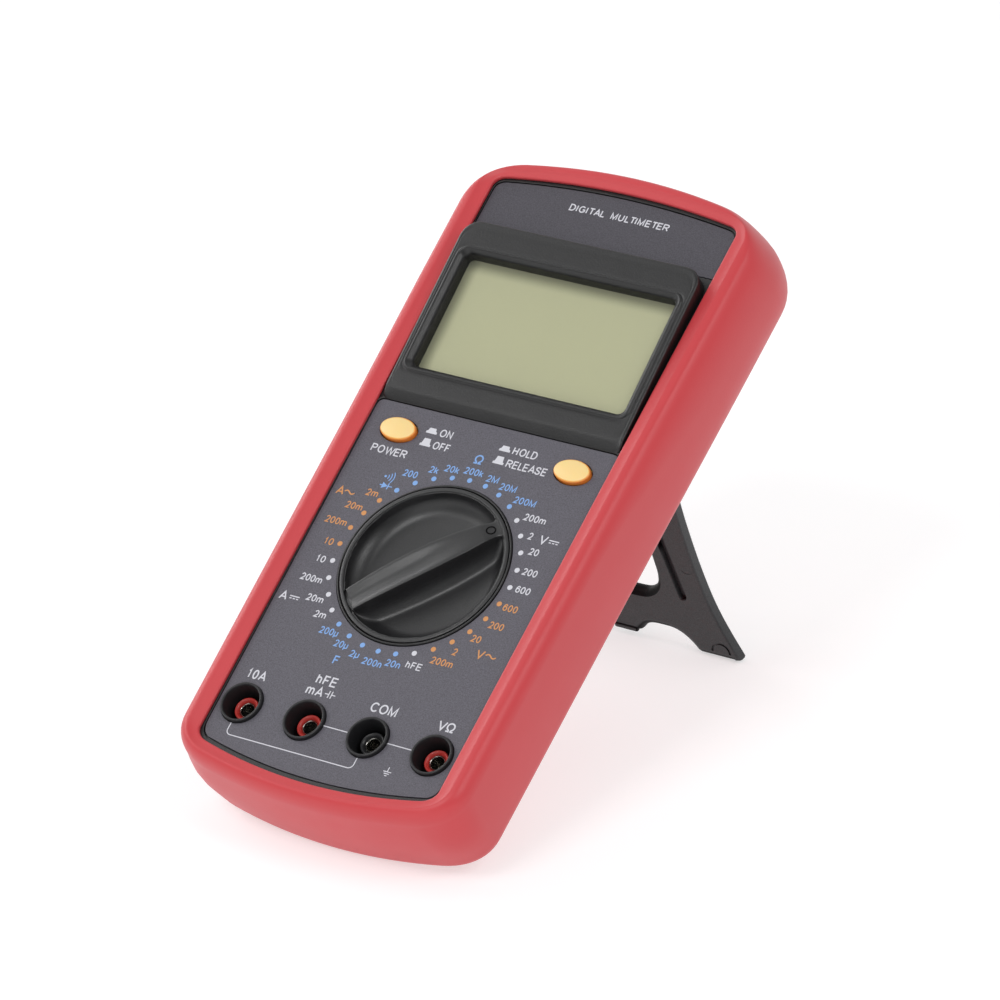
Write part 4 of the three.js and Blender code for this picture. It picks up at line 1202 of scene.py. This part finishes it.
# Signs on a unit box: ink width and advance in cap heights, open strokes, closed strokes
GLYPHS = {
    "0": (0.66, 0.78, [], [ROUND]),
    "1": (0.36, 0.62, [[(0.0, 0.74), (0.42, 0.84), (0.78, 1.0), (0.78, 0.0)]], []),
    "2": (0.66, 0.78, [arc(0.5, 0.69, 0.46, 0.31, 165, -25, 14)
                       + [(0.72, 0.38), (0.30, 0.16), (0.04, 0.0), (1.0, 0.0)]], []),
    "6": (0.66, 0.78, [[(0.93, 0.77), (0.80, 0.93), (0.56, 1.0), (0.30, 0.93), (0.10, 0.73),
                        (0.02, 0.45)]], [arc(0.51, 0.32, 0.49, 0.32, 0, 360, 28)[:-1]]),
    "A": (0.92, 0.95, [[(0, 0), (0.5, 1), (1, 0)], [(0.2, 0.32), (0.8, 0.32)]], []),
    "C": (0.88, 1.00, [arc(0.52, 0.5, 0.52, 0.5, 40, 320, 26)], []),
    "D": (0.84, 1.00, [], [[(0, 0), (0.42, 0)] + arc(0.42, 0.5, 0.58, 0.5, -90, 90, 16)[1:-1]
                           + [(0.42, 1), (0, 1)]]),
    "E": (0.76, 0.87, [[(1, 0), (0, 0), (0, 1), (1, 1)], [(0, 0.52), (0.92, 0.52)]], []),
    "F": (0.68, 0.84, [[(0, 0), (0, 1), (1, 1)], [(0, 0.52), (0.88, 0.52)]], []),
    "G": (0.92, 1.06, [arc(0.5, 0.5, 0.5, 0.5, 42, 300, 24)
                       + [(0.97, 0.17), (0.97, 0.46), (0.58, 0.46)]], []),
    "H": (0.78, 1.00, [[(0, 0), (0, 1)], [(1, 0), (1, 1)], [(0, 0.52), (1, 0.52)]], []),
    "I": (0.14, 0.38, [[(0.5, 0), (0.5, 1)]], []),
    "L": (0.66, 0.70, [[(0, 1), (0, 0), (1, 0)]], []),
    "M": (0.92, 1.10, [[(0, 0), (0, 1), (0.5, 0.06), (1, 1), (1, 0)]], []),
    "N": (0.78, 1.00, [[(0, 0), (0, 1), (1, 0), (1, 1)]], []),
    "O": (0.94, 1.08, [], [ROUND]),
    "P": (0.78, 0.92, [BOWL], []),
    "R": (0.84, 0.98, [BOWL, [(0.5, 0.49), (1, 0)]], []),
    "S": (0.80, 0.94, [[(0.95, 0.74), (0.87, 0.90), (0.70, 0.98), (0.5, 1), (0.28, 0.97),
                        (0.10, 0.87), (0.05, 0.74), (0.13, 0.61), (0.34, 0.54), (0.62, 0.47),
                        (0.87, 0.39), (0.98, 0.26), (0.92, 0.11), (0.74, 0.02), (0.5, 0),
                        (0.26, 0.02), (0.07, 0.12), (0, 0.28)]], []),
    "T": (0.80, 0.80, [[(0, 1), (1, 1)], [(0.5, 1), (0.5, 0)]], []),
    "U": (0.78, 0.98, [[(0, 1)] + arc(0.5, 0.33, 0.5, 0.33, 180, 360, 14) + [(1, 1)]], []),
    "V": (0.92, 0.92, [[(0, 1), (0.5, 0), (1, 1)]], []),
    "W": (1.26, 1.28, [[(0, 1), (0.25, 0), (0.5, 1), (0.75, 0), (1, 1)]], []),
    "h": (0.58, 0.78, [[(0, 0), (0, 1)], SHOULDER + [(1, 0)]], []),
    "k": (0.60, 0.70, [[(0, 0), (0, 1)], [(0.92, 0.72), (0, 0.24)], [(0.36, 0.44), (1, 0)]], []),
    "m": (0.98, 1.16, [[(0, 0), (0, 0.72)],
                       arc(0.25, 0.46, 0.25, 0.26, 180, 0, 10) + [(0.5, 0)],
                       arc(0.75, 0.46, 0.25, 0.26, 180, 0, 10) + [(1, 0)]], []),
    "n": (0.58, 0.78, [[(0, 0), (0, 0.72)], SHOULDER + [(1, 0)]], []),
    "µ": (0.60, 0.80, [[(0, 0.72), (0, -0.28)], arc(0.5, 0.28, 0.5, 0.28, 180, 360, 12),
                       [(1, 0.72), (1, 0)]], []),
    "Ω": (0.94, 1.02, [[(0, 0), (0.36, 0), (0.36, 0.10)]
                       + arc(0.5, 0.57, 0.47, 0.43, 243, -63, 24)
                       + [(0.64, 0.10), (0.64, 0), (1, 0)]], []),
    " ": (0.0, 0.40, [], []),
}


def stroke_sides(points, width, closed=False):
    """Left and right edges of a stroke along a polyline."""
    points = np.array(points, float)
    if closed:
        before, after = np.roll(points, 1, 0), np.roll(points, -1, 0)
    else:
        before = np.vstack([2 * points[:1] - points[1:2], points[:-1]])
        after = np.vstack([points[1:], 2 * points[-1:] - points[-2:-1]])
    normals = left_normals(points - before)
    middle = normals + left_normals(after - points)
    middle = middle / np.maximum(1e-6, np.hypot(*middle.T))[:, None]
    stretch = 1.0 / np.maximum(0.42, np.abs((middle * normals).sum(1)))
    offset = middle * (stretch * width / 2)[:, None]
    return [tuple(v) for v in points + offset], [tuple(v) for v in points - offset]


def add_line(color, points, width):
    """Stroke along an open polyline."""
    top = next(STROKE_TOPS)
    add_loops(PRINT[color], [[(*a, INK_BASE), (*b, INK_BASE), (*b, top), (*a, top)]
                             for a, b in zip(*stroke_sides(points, width))])


def add_closed_line(color, points, width):
    top = next(STROKE_TOPS)
    left, right = stroke_sides(points, width, closed=True)
    add_loops(PRINT[color], [at_z(left, INK_BASE), at_z(left, top), at_z(right, top),
                             at_z(right, INK_BASE)], ends="ring")


def add_text(color, text, x, y, cap, width, weight=0.152):
    """Text centred at (x, y) with the given cap height and ink width; weight is in caps."""
    thick = weight * cap
    starts, pen = [], 0.0
    for sign in text:
        starts.append(pen)
        pen += GLYPHS[sign][1]
    total = starts[-1] + GLYPHS[text[-1]][0]
    scale = width / total
    foot, height = y - cap / 2 + thick / 2, cap - thick
    for start, sign in zip(starts, text):
        ink, _, open_strokes, closed_strokes = GLYPHS[sign]
        left = x + (start - total / 2) * scale + thick / 2
        wide = max(0.0, ink * scale - thick)
        for strokes, draw in ((open_strokes, add_line), (closed_strokes, add_closed_line)):
            for stroke in strokes:
                draw(color, [(left + wide * u, foot + height * v) for u, v in stroke], thick)


def add_poly(color, points):
    add_loops(PRINT[color], [at_z(points, INK_BASE), at_z(points, INK_TOP)])


def add_rect(color, x0, x1, y0, y1):
    add_poly(color, [(x0, y0), (x1, y0), (x1, y1), (x0, y1)])


def circle_arc(x, y, radius, start, end, steps):
    return arc(x, y, radius, radius, start, end, steps)


# Range dots, clockwise from the head
DOT_RUNS = (("blue", 4), ("white", 5), ("orange", 5), ("white", 1), ("blue", 5), ("white", 4),
            ("orange", 4), ("blue", 4))
DOT_COLORS = [color for color, count in DOT_RUNS for _ in range(count)]
DOT_CIRCLE = 25.64
# Texts by the dots: colour, text, centre x, centre y, ink width
RANGE_CAP = 2.0
RANGES = [
    ("blue", "200k", 0.0, 28.2, 5.6), ("blue", "2M", 6.0, 27.5, 3.5),
    ("blue", "20M", 11.3, 26.2, 4.9), ("blue", "200M", 17.7, 23.6, 6.4),
    ("white", "200m", 22.8, 19.7, 6.4), ("white", "2", 24.0, 14.9, 1.25),
    ("white", "20", 27.1, 10.9, 2.75), ("white", "200", 28.9, 5.2, 4.2),
    ("white", "600", 29.5, 0.1, 4.2), ("orange", "600", 28.7, -5.5, 4.2),
    ("orange", "200", 27.5, -11.0, 4.2), ("orange", "20", 24.0, -15.7, 2.75),
    ("orange", "2", 20.3, -20.5, 1.25), ("orange", "200m", 18.3, -24.1, 6.4),
    ("white", "hFE", 11.5, -27.0, 4.6), ("blue", "20n", 5.7, -27.9, 4.3),
    ("blue", "200n", 0.0, -29.0, 5.7), ("blue", "2µ", -5.8, -28.0, 2.8),
    ("blue", "20µ", -10.7, -26.4, 4.1), ("blue", "200µ", -15.8, -23.9, 5.5),
    ("white", "2m", -20.6, -20.1, 3.5), ("white", "20m", -24.3, -16.2, 5.0),
    ("white", "200m", -28.2, -11.1, 6.4), ("white", "10", -28.5, -5.3, 2.6),
    ("orange", "10", -28.9, -0.1, 2.6), ("orange", "200m", -30.0, 5.9, 6.4),
    ("orange", "20m", -27.3, 11.1, 5.0), ("orange", "2m", -24.3, 15.8, 3.5),
    ("blue", "200", -16.8, 23.5, 4.2), ("blue", "2k", -11.0, 26.1, 2.7),
    ("blue", "20k", -6.2, 27.5, 4.2),
]
# Units round the dial: colour, text, centre x, centre y, cap height, ink width
UNITS = [
    ("blue", "Ω", -0.5, 31.9, 2.7, 2.6), ("blue", "F", -9.8, -30.9, 2.5, 1.6),
    ("white", "V", 27.9, 14.8, 2.5, 2.3), ("white", "A", -33.2, -17.5, 2.5, 2.3),
    ("orange", "V", 27.2, -19.4, 2.5, 2.3), ("orange", "A", -33.3, 14.4, 2.5, 2.3),
]
# White legends: text, centre x, centre y, cap height, ink width
BUTTON_LEGENDS = [("ON", -12.9, 36.6, 2.25, 3.7), ("OFF", -12.4, 32.8, 2.25, 5.0),
                  ("POWER", -26.0, 28.3, 2.3, 10.7), ("HOLD", 10.95, 36.6, 2.25, 7.2),
                  ("RELEASE", 13.35, 32.75, 2.25, 12.0)]
JACK_LEGENDS = [("10A", -28.6, -40.3, 2.7, 5.6), ("hFE", -9.2, -36.9, 2.7, 6.1),
                ("mA", -11.0, -40.3, 2.7, 5.0), ("COM", 9.8, -40.3, 2.7, 7.7),
                ("VΩ", 28.4, -40.3, 2.7, 5.0)]
THIN = 0.26  # usual line width


def print_dial():
    for i, color in enumerate(DOT_COLORS):
        angle = math.radians(90 - 360 / len(DOT_COLORS) * i)
        add_poly(color, ellipse(DOT_CIRCLE * math.cos(angle), DOT_CIRCLE * math.sin(angle),
                                0.70, 0.70, 28))
    for color, text, x, y, width in RANGES:
        add_text(color, text, x, y, RANGE_CAP, width)
    for unit in UNITS:
        add_text(*unit)
    # direct current: a bar over three dashes
    for x, y in ((30.9, 14.8), (-30.0, -17.4)):
        add_rect("white", x - 1.45, x + 1.45, y + 0.10, y + 0.40)
        for k in (-1, 0, 1):
            add_rect("white", x + k - 0.33, x + k + 0.33, y - 0.55, y - 0.27)
    # alternating current: one wave
    for x, y in ((30.2, -19.3), (-30.6, 14.4)):
        wave = [(x - 1.5 + 3.0 * i / 20, y + 0.42 * math.sin(2 * math.pi * i / 20))
                for i in range(21)]
        add_line("orange", wave, 0.36)
    # diode sign
    add_poly("blue", [(-22.9, 17.7), (-22.9, 19.5), (-21.2, 18.6)])
    add_rect("blue", -21.25, -20.95, 17.7, 19.5)
    add_line("blue", [(-23.6, 18.6), (-22.8, 18.6)], THIN)
    add_line("blue", [(-21.1, 18.6), (-19.9, 18.6)], THIN)
    # buzzer sign
    x, y = -23.2, 21.2
    add_poly("blue", ellipse(x, y, 0.33, 0.33, 16))
    for radius in (1.0, 1.8, 2.6):
        add_line("blue", circle_arc(x, y, radius, -36, 36, 10), THIN)


def print_buttons():
    for legend in BUTTON_LEGENDS:
        add_text("white", *legend)
    # button signs: a low knob beside the upper legend, a tall one beside the lower
    for x in (-17.2, 5.0):
        for y, height in ((36.7, 0.85), (32.9, 1.5)):
            right = [(1.6, -0.95), (1.6, -0.35), (1.2, -0.2), (0.95, -0.2 + height)]
            shape = [(-1.6, -0.95)] + right + mirrored(right[1:])
            add_poly("white", [(x + u, y + v) for u, v in shape])


def print_jacks():
    for legend in JACK_LEGENDS:
        add_text("white", *legend)
    # capacitor sign
    add_line("white", [(-8.0, -40.3), (-6.9, -40.3)], THIN)
    add_line("white", [(-6.0, -40.3), (-4.9, -40.3)], THIN)
    for x in (-6.85, -6.05):
        add_line("white", [(x, -41.3), (x, -39.3)], 0.28)
    # lines linking the jacks
    add_line("white", [(-3.8, JACK_Y), (3.9, JACK_Y)], THIN)
    add_line("white", [(15.3, JACK_Y), (23.2, JACK_Y)], THIN)
    add_line("white", [(-28.7, -54.5), (-28.7, -56.4)]
             + circle_arc(-27.4, -56.4, 1.3, 180, 270, 6)[1:] + [(-20, -57.7), (0, -57.7)]
             + circle_arc(8.2, -56.4, 1.3, -90, 0, 6) + [(9.5, -54.5)], THIN)
    # earth sign
    x = 19.2
    add_line("white", [(x, -54.6), (x, -55.9)], 0.22)
    for half, y in ((1.15, -55.9), (0.75, -56.45), (0.35, -57.0)):
        add_line("white", [(x - half, y), (x + half, y)], 0.22)


print_dial()
print_buttons()
print_jacks()
add_text("white", "DIGITAL  MULTIMETER", 2.3, 107.7, cap=2.05, width=30.0, weight=0.17)
for ink_color, ink_mesh in PRINT.items():
    add_object(ink_mesh, "print_" + ink_color, "print_" + ink_color, "face_label",
               smooth=30, weld=1e-5, weighted=False)

# ---------------------------------------------------------------------------
# CAD pieces that keep their own shape; those not listed are brass or steel
# ---------------------------------------------------------------------------
CAD_MATERIAL = {
    "rear_cover": "cover_plastic", "battery_door": "cover_plastic",
    "lcd_frame": "white_moulding", "rotor_carrier": "white_moulding",
    "zebra_strip_lower": "zebra_elastomer", "zebra_strip_upper": "zebra_elastomer",
    "main_pcb": "solder_mask", "processor_chip": "moulded_epoxy",
    "power_switch": "moulded_epoxy", "hold_switch": "moulded_epoxy",
    "battery_snap": "moulded_epoxy", "calibration_trimmer": "blue_sleeve",
    "filter_capacitor_1": "blue_sleeve", "filter_capacitor_2": "blue_sleeve",
    "fuse_10a": "nickel_plate", "fuse_ma": "nickel_plate", "shunt_10a": "resistance_wire",
    "battery_9v": "battery_sleeve", "battery_wire_red": "red_insulation",
    "battery_wire_black": "black_insulation", "buzzer_disc": "brass_strip",
}
BRASS_PREFIXES = ("fuse_clip", "contact_wiper", "input_socket")

for node_name, node in frame["nodes"].items():
    metal = "brass_strip" if node_name.startswith(BRASS_PREFIXES) else "plated_steel"
    node.data.materials.clear()
    node.data.materials.append(MATERIALS[CAD_MATERIAL.get(node_name, metal)])

# ---------------------------------------------------------------------------
# Floor, room, lights and camera; places in world metres unless noted
# ---------------------------------------------------------------------------
LIGHT_TARGET = Vector((0, 0, 0.06))
# name, location, (width, height), power in watts
LIGHTS = (
    ("key", (-0.12, -0.92, 1.20), (0.46, 0.46), 6.0),
    ("left", (-1.0, -0.30, 0.80), (0.5, 0.5), 2.6),
    ("rim", (-1.25, 0.38, 0.52), (0.7, 0.4), 3.2),
    ("right", (1.02, -0.15, 1.0), (0.55, 0.6), 4.6),
    ("low", (0.1, -1.4, 0.35), (1.0, 0.5), 1.6),
)
# Camera's right, up and back directions in the meter's frame
CAMERA_AXES = Matrix(((0.82686086, 0.43781274, -0.35301718),
                      (-0.20686067, 0.82044342, 0.53299274),
                      (0.52298163, -0.36768546, 0.76895879)))
# Camera's distance from the dial centre along those directions, mm
CAMERA_OFFSET = Vector((18.780, 16.190, 1551.545))
VIEWER_DIRECTION = (0.523, -0.735, 0.432)  # roughly from the object to the camera, in the world


def build_floor():
    """Pale ground that glows a little."""
    mesh = bmesh.new()
    bmesh.ops.create_grid(mesh, x_segments=1, y_segments=1, size=3.0)
    data = bpy.data.meshes.new("floor")
    mesh.to_mesh(data)
    mesh.free()
    floor = bpy.data.objects.new("floor", data)
    bpy.context.scene.collection.objects.link(floor)
    material = bpy.data.materials.new("floor")
    material.use_nodes = True
    inputs = material.node_tree.nodes["Principled BSDF"].inputs
    for key, value in {
        "Base Color": (0.55, 0.55, 0.555, 1), "Roughness": 0.7, "Specular IOR Level": 0.2,
        "Emission Color": (1, 1, 1, 1), "Emission Strength": 0.55,
    }.items():
        inputs[key].default_value = value
    data.materials.append(material)


def build_world():
    """Evenly lit room; the camera sees it brighter, a gloss sees it dim near the viewer."""
    world = bpy.data.worlds.new("studio")
    world.use_nodes = True
    nodes = world.node_tree.nodes
    shader = Shader(world.node_tree)
    light_path = shader.node("LightPath", {}).outputs
    facing = shader.dot(shader.coords["Generated"], VIEWER_DIRECTION)
    in_gloss = shader.smooth_range(facing, start=-0.45, end=0.7, low=1.0, high=0.22)
    strength = shader.node("Mix", {0: light_path["Is Glossy Ray"], 2: 0.50, 3: in_gloss},
                           data_type="FLOAT").outputs[0]
    room = nodes["Background"]
    shader.feed(room, 0, (1, 1, 1, 1))
    shader.feed(room, 1, strength)
    backdrop = shader.node("Background", {0: (1, 1, 1, 1), 1: 1.05})
    mixed = shader.node("MixShader", {0: light_path["Is Camera Ray"], 1: room.outputs[0],
                                      2: backdrop.outputs[0]})
    shader.feed(nodes["World Output"], 0, mixed.outputs[0])
    bpy.context.scene.world = world


def build_light(name, location, size, power):
    light = bpy.data.lights.new(name, "AREA")
    light.shape = "RECTANGLE"
    light.size, light.size_y = size
    light.energy = power
    made = bpy.data.objects.new(name, light)
    made.location = location
    aim = LIGHT_TARGET - Vector(location)
    made.rotation_euler = aim.to_track_quat("-Z", "Y").to_euler()
    bpy.context.scene.collection.objects.link(made)


def build_camera():
    lens = bpy.data.cameras.new("camera")
    lens.sensor_width = 36.0
    lens.lens = 225.468
    lens.clip_start = 0.05
    lens.clip_end = 20
    camera = bpy.data.objects.new("camera", lens)
    place = TO_WORLD @ (CAMERA_AXES.transposed() @ CAMERA_OFFSET)
    to_world_axes = Matrix((X_AXIS, Y_AXIS, Z_AXIS)).transposed()
    turn = (to_world_axes @ CAMERA_AXES.transposed()).to_4x4()
    camera.matrix_world = Matrix.Translation(place) @ turn
    bpy.context.scene.collection.objects.link(camera)
    bpy.context.scene.camera = camera


build_floor()
build_world()
for light_row in LIGHTS:
    build_light(*light_row)
bpy.context.scene.view_settings.view_transform = "Standard"
build_camera()
